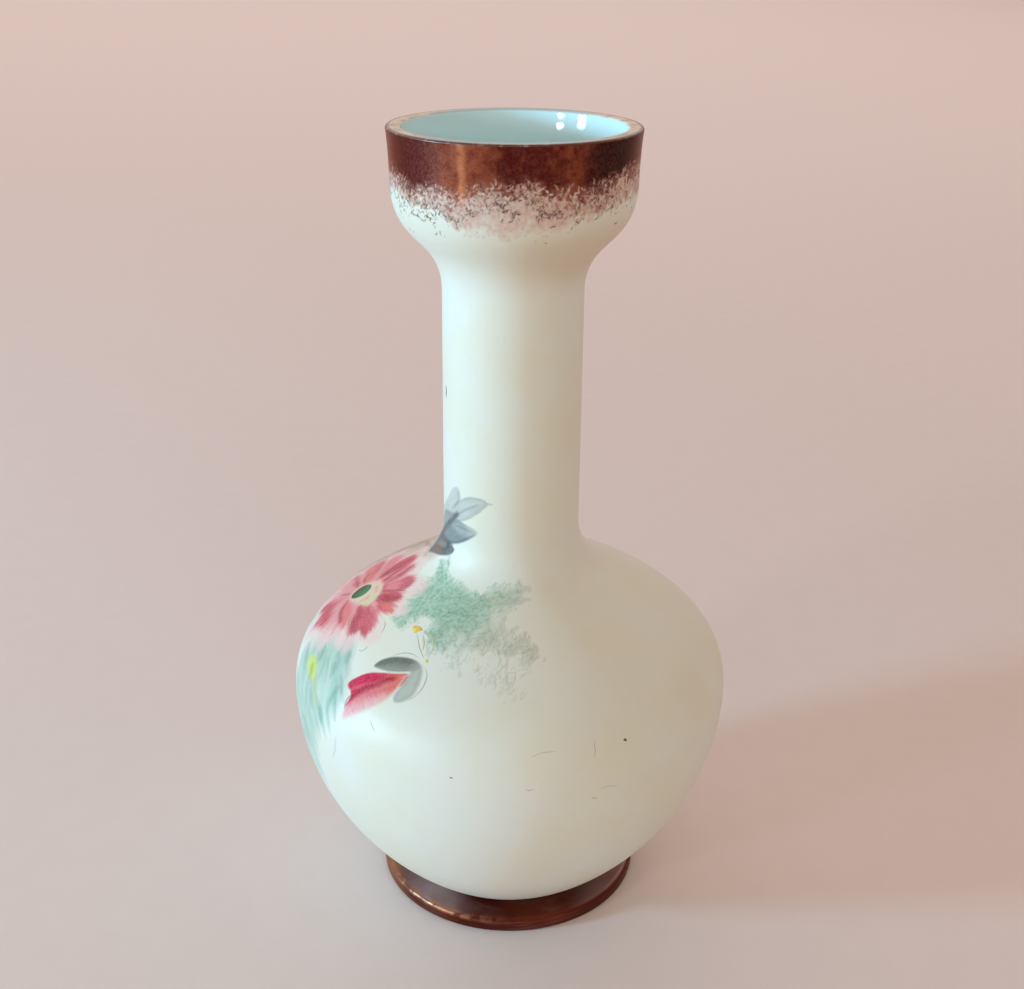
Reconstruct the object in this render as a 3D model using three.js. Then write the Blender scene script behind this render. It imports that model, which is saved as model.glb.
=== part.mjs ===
// Bottle vase in opal glass: a blown body with a long neck and a cup mouth, on an applied disc foot.
// Millimetres, +Z up. The origin is on the table, under the middle of the foot.

import * as THREE from 'three';

// Driving sizes of the applied foot

const FOOT_RADIUS = 39.9;
const FOOT_THICKNESS = 5.0; // table to the flat that the body is fused on
const FOOT_EDGE_HEIGHT = 4.3; // where the rounded edge starts, above the table
const FOOT_EDGE_ROUND = 1.9;
const FOOT_HEEL_ROUND = 0.7;
const RESTING_RING_WIDTH = 6.5;
const KICK_UP = 2.0; // how far the underside rises inside the resting ring
const SEAT_MARGIN = 1.0; // flat of the foot that shows round the base of the body

// Driving sizes of the blown body, outside

const RIM_HEIGHT = 230; // table to the ground rim
const BASE_RADIUS = 31.5;
const BELLY_RADIUS = 64.9;
const BELLY_HEIGHT = 67.4;
const FLANK_RISE_DEG = 38.7; // slope of the wall as it leaves the foot
const FLANK_SWEEP = 16; // how long the flank keeps that slope
const BELLY_DROP = 31; // how long the wall stays upright below the belly
const BELLY_LIFT = 18; // the same above the belly
const SHOULDER_SWEEP = 22.4; // how long the shoulder keeps the slope it has at the neck

const NECK_BASE_RADIUS = 19.6;
const NECK_TOP_RADIUS = 19.4;
const NECK_BASE_HEIGHT = 118.7;
const NECK_TOP_HEIGHT = 187;
const NECK_FILLET = 17;
const NECK_FILLET_TURN_DEG = 58.9;

const THROAT_FILLET = 17;
const THROAT_TURN_DEG = 42.6;
const CUP_RADIUS = 32.8;
const CUP_WALL_HEIGHT = 13.6; // upright wall of the cup, below the rim
const RIM_RADIUS = 33.5;
const BOWL_SWEEP = 6.1; // how long the bowl keeps the slope of the throat
const BOWL_LIFT = 10.8; // how long the bowl runs up into the wall of the cup
const RIM_OUTER_ROUND = 0.5;
const RIM_INNER_ROUND = 0.9;

// Glass thickness, square to the outside

const FLOOR_THICKNESS = 4.8;
const FLANK_WALL = 8;
const BELLY_WALL = 3;
const SHOULDER_WALL = 3.4;
const NECK_WALL = 3.6;
const THROAT_WALL = 4.4;
const CUP_WALL = 4.3;

// Fineness of the surfaces

const SAME_POINT = 0.05; // points nearer than this are one point of the profile
const STEPS = {
  around: 64,
  flank: 9,
  shoulder: 6,
  fillet: 4,
  neck: 2,
  throat: 4,
  bowl: 5,
  cup: 3,
  floor: 4,
  edge: 2,
};

const flankRise = THREE.MathUtils.degToRad(FLANK_RISE_DEG);
const neckFilletTurn = THREE.MathUtils.degToRad(NECK_FILLET_TURN_DEG);
const throatTurn = THREE.MathUtils.degToRad(THROAT_TURN_DEG);

const point = (radius, height) => new THREE.Vector2(radius, height);
const heading = (angle) => point(Math.cos(angle), Math.sin(angle));

// One stretch of wall: the outside as a curve that climbs, and the glass thickness at its two ends
const stretch = (curve, steps, wallLow, wallHigh) => ({ curve, steps, wallLow, wallHigh });

const outsideOf = ({ curve, steps }) => curve.getPoints(steps);

// The inside of a stretch lies square to the outside, one glass thickness away
function insideOf({ curve, steps, wallLow, wallHigh }) {
  return Array.from({ length: steps + 1 }, (_, step) => {
    const t = step / steps;
    const along = curve.getTangent(t);
    const inward = point(-along.y, along.x);
    const wall = THREE.MathUtils.lerp(wallLow, wallHigh, t);
    return curve.getPoint(t).addScaledVector(inward, wall);
  });
}

// A quarter circle that rounds an edge, from one angle to another
function roundedEdge(centreRadius, centreHeight, round, fromAngle, toAngle) {
  return Array.from({ length: STEPS.edge + 1 }, (_, step) => {
    const angle = THREE.MathUtils.lerp(fromAngle, toAngle, step / STEPS.edge);
    return point(centreRadius, centreHeight).addScaledVector(heading(angle), round);
  });
}

// Neighbouring stretches share an end, which a profile holds once
function withoutRepeats(points) {
  return points.filter((p, i) => i === 0 || p.distanceTo(points[i - 1]) > SAME_POINT);
}

// Turns a closed outline, listed from the bottom centre outwards and up, round the vertical axis
function turned(outline) {
  const geometry = new THREE.LatheGeometry(withoutRepeats(outline), STEPS.around);
  geometry.rotateX(Math.PI / 2);
  return geometry;
}

// The wall of the body from the foot to the rim, as stretches that run smoothly into each other
function bodyWall() {
  const base = point(BASE_RADIUS, FOOT_THICKNESS);
  const belly = point(BELLY_RADIUS, BELLY_HEIGHT);
  const flank = new THREE.CubicBezierCurve(
    base,
    base.clone().addScaledVector(heading(flankRise), FLANK_SWEEP),
    belly.clone().add(point(0, -BELLY_DROP)),
    belly,
  );

  // The hollow bend where the shoulder turns up into the neck
  const filletCentre = point(NECK_BASE_RADIUS + NECK_FILLET, NECK_BASE_HEIGHT);
  const fillet = new THREE.EllipseCurve(
    filletCentre.x,
    filletCentre.y,
    NECK_FILLET,
    NECK_FILLET,
    Math.PI + neckFilletTurn,
    Math.PI,
    true,
  );
  const shoulderTop = fillet.getPoint(0);
  const shoulder = new THREE.CubicBezierCurve(
    belly,
    belly.clone().add(point(0, BELLY_LIFT)),
    shoulderTop.clone().addScaledVector(heading(neckFilletTurn - Math.PI / 2), SHOULDER_SWEEP),
    shoulderTop,
  );

  const neck = new THREE.LineCurve(
    point(NECK_BASE_RADIUS, NECK_BASE_HEIGHT),
    point(NECK_TOP_RADIUS, NECK_TOP_HEIGHT),
  );

  // The throat opens out of the neck and the bowl of the cup turns it upright again
  const throat = new THREE.EllipseCurve(
    NECK_TOP_RADIUS + THROAT_FILLET,
    NECK_TOP_HEIGHT,
    THROAT_FILLET,
    THROAT_FILLET,
    Math.PI,
    Math.PI - throatTurn,
    true,
  );
  const bowlLow = throat.getPoint(1);
  const bowlHigh = point(CUP_RADIUS, RIM_HEIGHT - CUP_WALL_HEIGHT);
  const bowl = new THREE.CubicBezierCurve(
    bowlLow,
    bowlLow.clone().addScaledVector(heading(Math.PI / 2 - throatTurn), BOWL_SWEEP),
    bowlHigh.clone().add(point(0, -BOWL_LIFT)),
    bowlHigh,
  );
  const cup = new THREE.QuadraticBezierCurve(
    bowlHigh,
    point(CUP_RADIUS, RIM_HEIGHT - CUP_WALL_HEIGHT / 2),
    point(RIM_RADIUS, RIM_HEIGHT - RIM_OUTER_ROUND),
  );

  return [
    stretch(flank, STEPS.flank, FLANK_WALL, BELLY_WALL),
    stretch(shoulder, STEPS.shoulder, BELLY_WALL, SHOULDER_WALL),
    stretch(fillet, STEPS.fillet, SHOULDER_WALL, NECK_WALL),
    stretch(neck, STEPS.neck, NECK_WALL, NECK_WALL),
    stretch(throat, STEPS.throat, NECK_WALL, THROAT_WALL),
    stretch(bowl, STEPS.bowl, THROAT_WALL, CUP_WALL),
    stretch(cup, STEPS.cup, CUP_WALL, CUP_WALL),
  ];
}

// The dished floor inside the bulb: it leaves the flank at the flank's own slope and levels out
function cavityFloor(start) {
  const centre = point(0, FOOT_THICKNESS + FLOOR_THICKNESS);
  const bend = point(start.x - (start.y - centre.y) / Math.tan(flankRise), centre.y);
  return new THREE.QuadraticBezierCurve(start, bend, centre).getPoints(STEPS.floor);
}

function blownBody() {
  const wall = bodyWall();
  const outside = wall.flatMap(outsideOf);
  const inside = wall.flatMap(insideOf).reverse();
  const innerLip = inside[0];

  // The rim is ground flat, with a small round outside and a wider one inside
  const rim = [
    ...roundedEdge(RIM_RADIUS - RIM_OUTER_ROUND, RIM_HEIGHT - RIM_OUTER_ROUND, RIM_OUTER_ROUND, 0, Math.PI / 2),
    ...roundedEdge(
      innerLip.x + RIM_INNER_ROUND,
      RIM_HEIGHT - RIM_INNER_ROUND,
      RIM_INNER_ROUND,
      Math.PI / 2,
      Math.PI,
    ),
  ];
  const belowRim = inside.filter((p) => p.y < RIM_HEIGHT - RIM_INNER_ROUND);
  const floor = cavityFloor(inside[inside.length - 1]);

  return turned([point(0, FOOT_THICKNESS), ...outside, ...rim, ...belowRim, ...floor]);
}

function appliedFoot() {
  const seatRadius = BASE_RADIUS + SEAT_MARGIN;
  const ringInner = FOOT_RADIUS - FOOT_HEEL_ROUND - RESTING_RING_WIDTH;

  // The hollow under the foot rises from the resting ring in one low arch
  const arch = new THREE.CubicBezierCurve(
    point(0, KICK_UP),
    point(ringInner / 2, KICK_UP),
    point(ringInner * 0.85, KICK_UP * 0.9),
    point(ringInner, 0),
  );
  const heel = roundedEdge(
    FOOT_RADIUS - FOOT_HEEL_ROUND,
    FOOT_HEEL_ROUND,
    FOOT_HEEL_ROUND,
    -Math.PI / 2,
    0,
  );

  // The upper face falls from the seat to the edge, and the edge rounding takes up that slope
  const edgeRadius = FOOT_RADIUS - FOOT_EDGE_ROUND;
  const fall = Math.atan2(FOOT_THICKNESS - FOOT_EDGE_HEIGHT, edgeRadius - seatRadius);
  const edge = roundedEdge(
    edgeRadius,
    FOOT_EDGE_HEIGHT - FOOT_EDGE_ROUND,
    FOOT_EDGE_ROUND,
    0,
    Math.PI / 2 - fall,
  );

  return turned([
    ...arch.getPoints(STEPS.floor),
    ...heel,
    ...edge,
    point(seatRadius, FOOT_THICKNESS),
    point(0, FOOT_THICKNESS),
  ]);
}

const opalGlass = new THREE.MeshStandardMaterial({ color: 0xdfe6da, roughness: 0.45, metalness: 0 });
const copperLustre = new THREE.MeshStandardMaterial({ color: 0x5f2a1c, roughness: 0.25, metalness: 0.6 });

function named(name, geometry, material) {
  const mesh = new THREE.Mesh(geometry, material);
  mesh.name = name;
  return mesh;
}

const vase = new THREE.Group();
vase.add(named('blown_body', blownBody(), opalGlass));
vase.add(named('applied_foot', appliedFoot(), copperLustre));

export default vase;
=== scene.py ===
# Bottle vase in satin opal glass, painted with a flower spray, with a lustred mouth and foot.
# Lengths are millimetres until a mesh is made, and Blender's metres after that.
# A place on the glass is a turn in degrees, 0 towards the camera and positive to its right,
# and a climb, the length of wall from the top of the foot.

import math

import bpy
import numpy as np
from mathutils import Matrix, Vector


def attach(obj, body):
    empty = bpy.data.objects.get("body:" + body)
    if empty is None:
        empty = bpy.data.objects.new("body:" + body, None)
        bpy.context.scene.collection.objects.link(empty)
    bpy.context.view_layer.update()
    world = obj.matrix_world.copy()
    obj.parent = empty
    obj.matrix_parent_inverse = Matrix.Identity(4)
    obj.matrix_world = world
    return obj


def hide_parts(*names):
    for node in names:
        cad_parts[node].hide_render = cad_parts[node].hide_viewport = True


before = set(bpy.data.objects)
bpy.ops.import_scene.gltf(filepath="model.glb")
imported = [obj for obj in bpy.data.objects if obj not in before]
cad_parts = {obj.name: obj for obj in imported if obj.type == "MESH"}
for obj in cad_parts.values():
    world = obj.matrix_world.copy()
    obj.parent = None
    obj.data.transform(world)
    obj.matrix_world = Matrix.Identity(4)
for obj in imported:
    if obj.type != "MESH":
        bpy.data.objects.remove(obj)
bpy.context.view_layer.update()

MM = 0.001
FULL_TURN = 2 * math.pi

# The blown body, outside, as in the frame's solid

FOOT_TOP = 5.0
RIM_HEIGHT = 230.0
BASE_RADIUS = 31.5
BELLY = (64.9, 67.4)
FLANK_RISE, FLANK_SWEEP = 38.7, 16.0
BELLY_DROP, BELLY_LIFT = 31.0, 18.0
SHOULDER_SWEEP = 22.4
NECK_BASE = (19.6, 118.7)
NECK_TOP = (19.4, 187.0)
NECK_FILLET, NECK_FILLET_TURN = 17.0, 58.9
THROAT_FILLET, THROAT_TURN = 17.0, 42.6
CUP_RADIUS, CUP_WALL_HEIGHT = 32.8, 13.6
RIM_RADIUS = 33.5
BOWL_SWEEP, BOWL_LIFT = 6.1, 10.8
RIM_OUTER_ROUND, RIM_INNER_ROUND = 0.5, 0.7
LIP_FLARE, LIP_FLARE_HEIGHT = 0.5, 9.0  # the inside opens a little towards the rim
FLOOR_THICKNESS = 4.8
WALLS = {"flank": 8.0, "belly": 3.0, "shoulder": 3.4, "neck": 3.6, "throat": 4.4, "cup": 4.3}

# The applied foot

FOOT_RADIUS = 39.9
FOOT_EDGE_HEIGHT = 4.3
FOOT_EDGE_ROUND, FOOT_HEEL_ROUND = 1.9, 0.7
RESTING_RING_WIDTH = 6.5
KICK_UP = 2.0
ARCH_REACH, ARCH_RISE = 0.85, 0.9  # how far out and how high the arch under the foot stays full
SEAT_RADIUS = 32.5

AROUND = 256  # faces round the axis
STEPS = {"flank": 200, "shoulder": 200, "fillet": 80, "neck": 60, "throat": 60, "bowl": 80, "cup": 40}
FLOOR_STEPS, ARCH_STEPS = 20, 80
OUTER_ROUND_STEPS, INNER_ROUND_STEPS, HEEL_STEPS, EDGE_STEPS = 6, 7, 6, 14
SMOOTH_STEPS = 8  # points that a smooth line gets between two given ones
SLOPE_REACH = 0.2  # length of wall, to each side, that a slope is taken over
TINY = 1e-12  # keeps a division by a length from failing


# Curves of the profile, as points (radius, height)


def heading(degrees):
    """A step of length 1 that leaves the horizon by an angle."""
    angle = math.radians(degrees)
    return np.array([math.cos(angle), math.sin(angle)])


def bezier(*points, steps):
    """Points along a curve that its end points and handles give."""
    t = np.linspace(0, 1, steps)[:, None]
    points = [np.asarray(p, float) for p in points]
    while len(points) > 1:
        points = [a + (b - a) * t for a, b in zip(points, points[1:])]
    return points[0]


def arc(centre, radius, start, end, steps):
    """Points along a part of a circle, between two angles in degrees."""
    angle = np.radians(np.linspace(start, end, steps))
    return np.asarray(centre) + radius * np.stack([np.cos(angle), np.sin(angle)], axis=-1)


def lengths(points):
    """Distance along a line of points, at each point."""
    return np.concatenate([[0], np.cumsum(np.linalg.norm(np.diff(points, axis=0), axis=1))])


def walked(points, spacing):
    """The same line, with points about one spacing apart."""
    points = np.asarray(points, float)
    along = lengths(points)
    stops = np.linspace(0, along[-1], max(2, round(along[-1] / spacing) + 1))
    return np.stack([np.interp(stops, along, axis) for axis in points.T], axis=-1)


def joined(*lines):
    """Lines that share their end points, as one."""
    return np.concatenate([lines[0], *[line[1:] for line in lines[1:]]])


def body_wall():
    """Outside of the body from the foot to the rim, with the glass thickness at each point."""
    base, belly = np.array([BASE_RADIUS, FOOT_TOP]), np.array(BELLY)
    leaving = base + FLANK_SWEEP * heading(FLANK_RISE)
    flank = bezier(base, leaving, belly - [0, BELLY_DROP], belly, steps=STEPS["flank"])
    bend = (NECK_BASE[0] + NECK_FILLET, NECK_BASE[1])
    fillet = arc(bend, NECK_FILLET, 180 + NECK_FILLET_TURN, 180, STEPS["fillet"])
    arriving = fillet[0] + SHOULDER_SWEEP * heading(NECK_FILLET_TURN - 90)
    shoulder = bezier(belly, belly + [0, BELLY_LIFT], arriving, fillet[0], steps=STEPS["shoulder"])
    neck = np.linspace(NECK_BASE, NECK_TOP, STEPS["neck"])
    throat_centre = (NECK_TOP[0] + THROAT_FILLET, NECK_TOP[1])
    throat = arc(throat_centre, THROAT_FILLET, 180, 180 - THROAT_TURN, STEPS["throat"])
    cup_foot = np.array([CUP_RADIUS, RIM_HEIGHT - CUP_WALL_HEIGHT])
    opening = throat[-1] + BOWL_SWEEP * heading(90 - THROAT_TURN)
    bowl = bezier(throat[-1], opening, cup_foot - [0, BOWL_LIFT], cup_foot, steps=STEPS["bowl"])
    cup_middle = (CUP_RADIUS, RIM_HEIGHT - CUP_WALL_HEIGHT / 2)
    cup = bezier(cup_foot, cup_middle, (RIM_RADIUS, RIM_HEIGHT - RIM_OUTER_ROUND), steps=STEPS["cup"])
    stretches = [flank, shoulder, fillet, neck, throat, bowl, cup]
    ends = ["flank", "belly", "shoulder", "neck", "neck", "throat", "cup", "cup"]
    thickness = [np.linspace(WALLS[a], WALLS[b], len(line)) for line, a, b in zip(stretches, ends, ends[1:])]
    return joined(*stretches), np.concatenate([thickness[0], *[t[1:] for t in thickness[1:]]])


OUTSIDE, THICKNESS = body_wall()
CLIMB = lengths(OUTSIDE)
LIP = CLIMB[-1]


def inside_wall():
    """The inside, one glass thickness square to the outside, from the rim down to the cavity's floor."""
    along = np.gradient(OUTSIDE, axis=0)
    along /= np.linalg.norm(along, axis=1)[:, None]
    inside = OUTSIDE + np.stack([-along[:, 1], along[:, 0]], axis=-1) * THICKNESS[:, None]
    flare = np.clip((inside[:, 1] - RIM_HEIGHT) / LIP_FLARE_HEIGHT + 1, 0, 1) ** 2
    inside[:, 0] += LIP_FLARE * flare
    inside = inside[inside[:, 1] < RIM_HEIGHT - RIM_INNER_ROUND][::-1]
    start, floor = inside[-1], FOOT_TOP + FLOOR_THICKNESS
    bend = (start[0] - (start[1] - floor) / math.tan(math.radians(FLANK_RISE)), floor)
    return inside, bezier(start, bend, (0, floor), steps=FLOOR_STEPS)


def wall_at(climb):
    """Radius and height of the outside at a climb."""
    return np.interp(climb, CLIMB, OUTSIDE[:, 0]), np.interp(climb, CLIMB, OUTSIDE[:, 1])


def on_glass(turn, climb, lift=0.0):
    """Points on the outside, or lifted off it squarely by some millimetres."""
    turn, climb = np.radians(turn), np.asarray(climb, float)
    low, high = wall_at(climb - SLOPE_REACH), wall_at(climb + SLOPE_REACH)
    rise = np.arctan2(high[1] - low[1], high[0] - low[0])
    radius, height = wall_at(climb)
    radius = radius + lift * np.sin(rise)
    height = height - lift * np.cos(rise)
    return np.stack([radius * np.sin(turn), -radius * np.cos(turn), height], axis=-1)


# Brush work: colours, smooth random values and shapes in the plane of a panel

GLOSS_SHARE = 0.025  # white that the gloss adds to what is seen
DARKEST = 0.004
GRAIN_SIZE = 128  # units after which smooth random values repeat
BARELY = 1e-6  # least cover that a colour is worked out from
SEARCH_FROM, SEARCH_TO, SEARCH_STEP, HALVINGS = 12.0, -30.0, 0.5, 16  # for the glass, square to a panel


def paint_colour(red, green, blue):
    """A colour as the eye names it, 0 to 255, as linear light."""
    c = np.array([red, green, blue]) / 255
    return np.where(c <= 0.04045, c / 12.92, ((c + 0.055) / 1.055) ** 2.4)


def enamel(red, green, blue):
    """An enamel's own colour, from the colour that it shows."""
    return np.clip((paint_colour(red, green, blue) - GLOSS_SHARE) / (1 - GLOSS_SHARE), DARKEST, 1)


def smooth(low, high, x):
    """0 up to the low value, 1 from the high one, and a soft rise between them."""
    t = np.clip((x - low) / (high - low), 0, 1)
    return t * t * (3 - 2 * t)


def mixed(a, b, share):
    """One colour going over into another, as the share of the second one grows."""
    return a * (1 - share) + b * share


def grain(x, y, seed, wide=GRAIN_SIZE):
    """Smooth random values from 0 to 1 that change over about one unit, and repeat after a width of units."""
    table = np.random.default_rng(seed).random((wide, GRAIN_SIZE))
    i, j = np.floor(x).astype(int), np.floor(y).astype(int)
    here, beyond = i % wide, (i + 1) % wide

    def row(k):
        return mixed(table[here, k % GRAIN_SIZE], table[beyond, k % GRAIN_SIZE], smooth(0, 1, x - i))

    return mixed(row(j), row(j + 1), smooth(0, 1, y - j))


def swing(x, y, seed):
    """The same from -0.5 to 0.5."""
    return grain(x, y, seed) - 0.5


def through(points, closed=False):
    """A smooth line through a few given points."""
    p = np.asarray(points, float)
    if closed:
        p = np.concatenate([p[-1:], p, p[:2]])
    else:
        p = np.concatenate([[2 * p[0] - p[1]], p, [2 * p[-1] - p[-2]]])
    t = np.linspace(0, 1, SMOOTH_STEPS, endpoint=False)[:, None]
    parts = [
        0.5 * (2 * b + (c - a) * t + (2 * a - 5 * b + 4 * c - d) * t**2 + (3 * b - a - 3 * c + d) * t**3)
        for a, b, c, d in zip(p, p[1:], p[2:], p[3:])
    ]
    return np.concatenate(parts if closed else [*parts, p[-2:-1]])


def near_line(u, v, line):
    """Distance to a line of points, and how far along it the nearest place is, 0 to 1."""
    best, place = np.full(u.shape, np.inf), np.zeros(u.shape)
    along = lengths(line)
    for k, (a, b) in enumerate(zip(line, line[1:])):
        step = b - a
        t = np.clip(((u - a[0]) * step[0] + (v - a[1]) * step[1]) / max(step @ step, TINY), 0, 1)
        gap = np.hypot(u - a[0] - t * step[0], v - a[1] - t * step[1])
        closer = gap < best
        best = np.where(closer, gap, best)
        place = np.where(closer, (along[k] + t * (along[k + 1] - along[k])) / along[-1], place)
    return best, place


def within(u, v, outline):
    """Distance inside a closed outline, negative outside it."""
    line = through(outline, closed=True)
    line = np.concatenate([line, line[:1]])
    odd = np.zeros(u.shape, bool)
    for a, b in zip(line, line[1:]):
        crosses = (a[1] > v) != (b[1] > v)
        rise = b[1] - a[1] if b[1] != a[1] else TINY
        odd ^= crosses & (u < a[0] + (v - a[1]) * (b[0] - a[0]) / rise)
    return np.where(odd, 1, -1) * near_line(u, v, line)[0]


class Panel:
    """A flat sheet held against the glass at one place: u runs to the right and v up the wall, in mm."""

    def __init__(self, turn, climb):
        self.turn, self.climb = turn, climb
        self.origin = on_glass(turn, climb)
        self.out = on_glass(turn, climb, 1.0) - self.origin
        self.right = np.array([math.cos(math.radians(turn)), math.sin(math.radians(turn)), 0])
        self.up = np.cross(self.out, self.right)

    def seen(self, points):
        """u and v of points in space, and how far they lie behind the sheet."""
        d = points - self.origin
        return d @ self.right, d @ self.up, -(d @ self.out)

    def onto_glass(self, uv, lift=0.0):
        """Points of the sheet pressed square onto the glass, and lifted off it."""
        uv = np.asarray(uv, float)
        flat = self.origin + uv[:, :1] * self.right + uv[:, 1:] * self.up

        def at(depth):
            p = flat + depth[:, None] * self.out
            return p, np.hypot(p[:, 0], p[:, 1]) < np.interp(p[:, 2], OUTSIDE[:, 1], OUTSIDE[:, 0])

        above, below = np.full(len(uv), SEARCH_FROM), np.full(len(uv), SEARCH_TO)
        for depth in np.arange(SEARCH_FROM, SEARCH_TO, -SEARCH_STEP):
            hit = at(np.full(len(uv), depth))[1] & (below == SEARCH_TO)
            below, above = np.where(hit, depth, below), np.where(hit, depth + SEARCH_STEP, above)
        for _ in range(HALVINGS):
            middle = (above + below) / 2
            inside = at(middle)[1]
            below, above = np.where(inside, middle, below), np.where(inside, above, middle)
        p = at(above)[0]
        turn = np.degrees(np.arctan2(p[:, 0], -p[:, 1]))
        return on_glass(turn, np.interp(p[:, 2], OUTSIDE[:, 1], CLIMB), lift)


class Coats:
    """Enamel laid on a set of points coat by coat: its colour, how much it covers, and how metallic it is."""

    def __init__(self, count):
        self.colour, self.cover = np.ones((count, 3)), np.zeros(count)
        self.metal = np.zeros(count)

    def lay(self, cover, colour, at=slice(None), metal=0.0):
        """One more coat over what is there, on all the points or on some of them."""
        total = cover + self.cover[at] * (1 - cover)
        share = cover / np.maximum(total, BARELY)
        self.colour[at] = mixed(self.colour[at], colour, share[:, None])
        self.metal[at] += (metal - self.metal[at]) * share
        self.cover[at] = total


def around(u, v, line, margin):
    """Which points lie within a margin of the box round a line."""
    low, high = np.min(line, axis=0) - margin, np.max(line, axis=0) + margin
    return np.flatnonzero((u > low[0]) & (u < high[0]) & (v > low[1]) & (v < high[1]))


def stroke(coats, u, v, points, width, colour, soft=0.3, strength=1.0, tail=0.3):
    """One pull of the brush through a few points, full at its start and thinner towards its tail."""
    line = through(points)
    at = around(u, v, line, width / 2 + soft)
    gap, place = near_line(u[at], v[at], line)
    half = width / 2 * (tail + (1 - tail) * np.sin(math.pi * np.clip(0.12 + 0.88 * place, 0, 1)) ** 0.6)
    coats.lay(strength * smooth(-soft, soft, half - gap), colour, at)


def fill(coats, u, v, outline, low, high, colour, strength=1.0):
    """A shape laid in one coat, its edge fading over these distances inside the outline."""
    coats.lay(strength * smooth(low, high, within(u, v, outline)), colour)


def strokes(coats, u, v, rows):
    """Pulls of the brush in order: points, width, colour, softness, strength and sometimes the tail."""
    for row in rows:
        stroke(coats, u, v, *row)


# Enamel colours

ROSE_PALE = enamel(238, 206, 204)
ROSE_SOFT = enamel(230, 156, 160)
ROSE = enamel(226, 124, 136)
ROSE_FULL = enamel(214, 90, 106)
ROSE_DEEP = enamel(198, 66, 90)
CRIMSON = enamel(206, 42, 88)
CRIMSON_DARK = enamel(170, 34, 66)
PLUM = enamel(156, 56, 70)
SALMON = enamel(226, 116, 104)
CREAM = enamel(228, 208, 186)
PALE_GREEN = enamel(204, 210, 166)
HEART_GREEN = enamel(16, 130, 90)
HEART_SHADE = enamel(6, 88, 58)
SLATE_PALE = enamel(190, 196, 192)
SLATE = enamel(152, 162, 164)
STEEL = enamel(120, 136, 142)
STEEL_DARK = enamel(84, 94, 100)
UMBER = enamel(116, 98, 92)
LEAF_GREY = enamel(150, 153, 148)
LEAF_DARK = enamel(104, 116, 108)
CALYX_GREY = enamel(178, 186, 178)
TURQUOISE = enamel(148, 192, 179)
TEAL = enamel(100, 150, 142)
SKY_STROKE = enamel(150, 188, 190)
MINT = enamel(150, 190, 168)
MINT_LIGHT = enamel(180, 210, 190)
MINT_DARK = enamel(108, 156, 134)
SPRAY_GREY = enamel(156, 170, 150)
SPRAY_DARK = enamel(124, 138, 122)
LEMON = enamel(208, 224, 108)
LEMON_SHADE = enamel(176, 178, 84)
FAR_WASH = enamel(200, 168, 152)
FAR_SHADE = enamel(132, 118, 100)

# Where the painting lies

FLOWER_PANEL = Panel(-87.4, 109.1)
BUD_PANEL = Panel(-37.5, 95.2)
LEAF_PANEL = Panel(-44.9, 150.5)
MOSS_PANEL = Panel(-18.8, 120.6)
WASH_PANEL = Panel(-57.4, 86.0)
PAINTED_DEPTH = 34.0  # how far behind its sheet a panel still paints
OUT_OF_REACH = 1e6
FAR_TURN = -87.4  # the flower's own turn, about which the hidden side is guessed


def faced(panel, points):
    """u and v on a panel, with the places on the other side of the vase put out of reach."""
    u, v, behind = panel.seen(points)
    return np.where(behind < PAINTED_DEPTH, u, OUT_OF_REACH), v


def mirrored(points):
    """The same places on the other side of the flower, for the half that the camera doesn't see."""
    a = 2 * math.radians(FAR_TURN)
    flipped = points * [-1, 1, 1]
    turned = np.array([[math.cos(a), -math.sin(a), 0], [math.sin(a), math.cos(a), 0], [0, 0, 1]])
    return flipped @ turned.T


# The open flower, its petals from the back to the front. A petal is its outline, its tone and its pulls of
# the brush, and a pull is its points, width, tone and strength.

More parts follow.
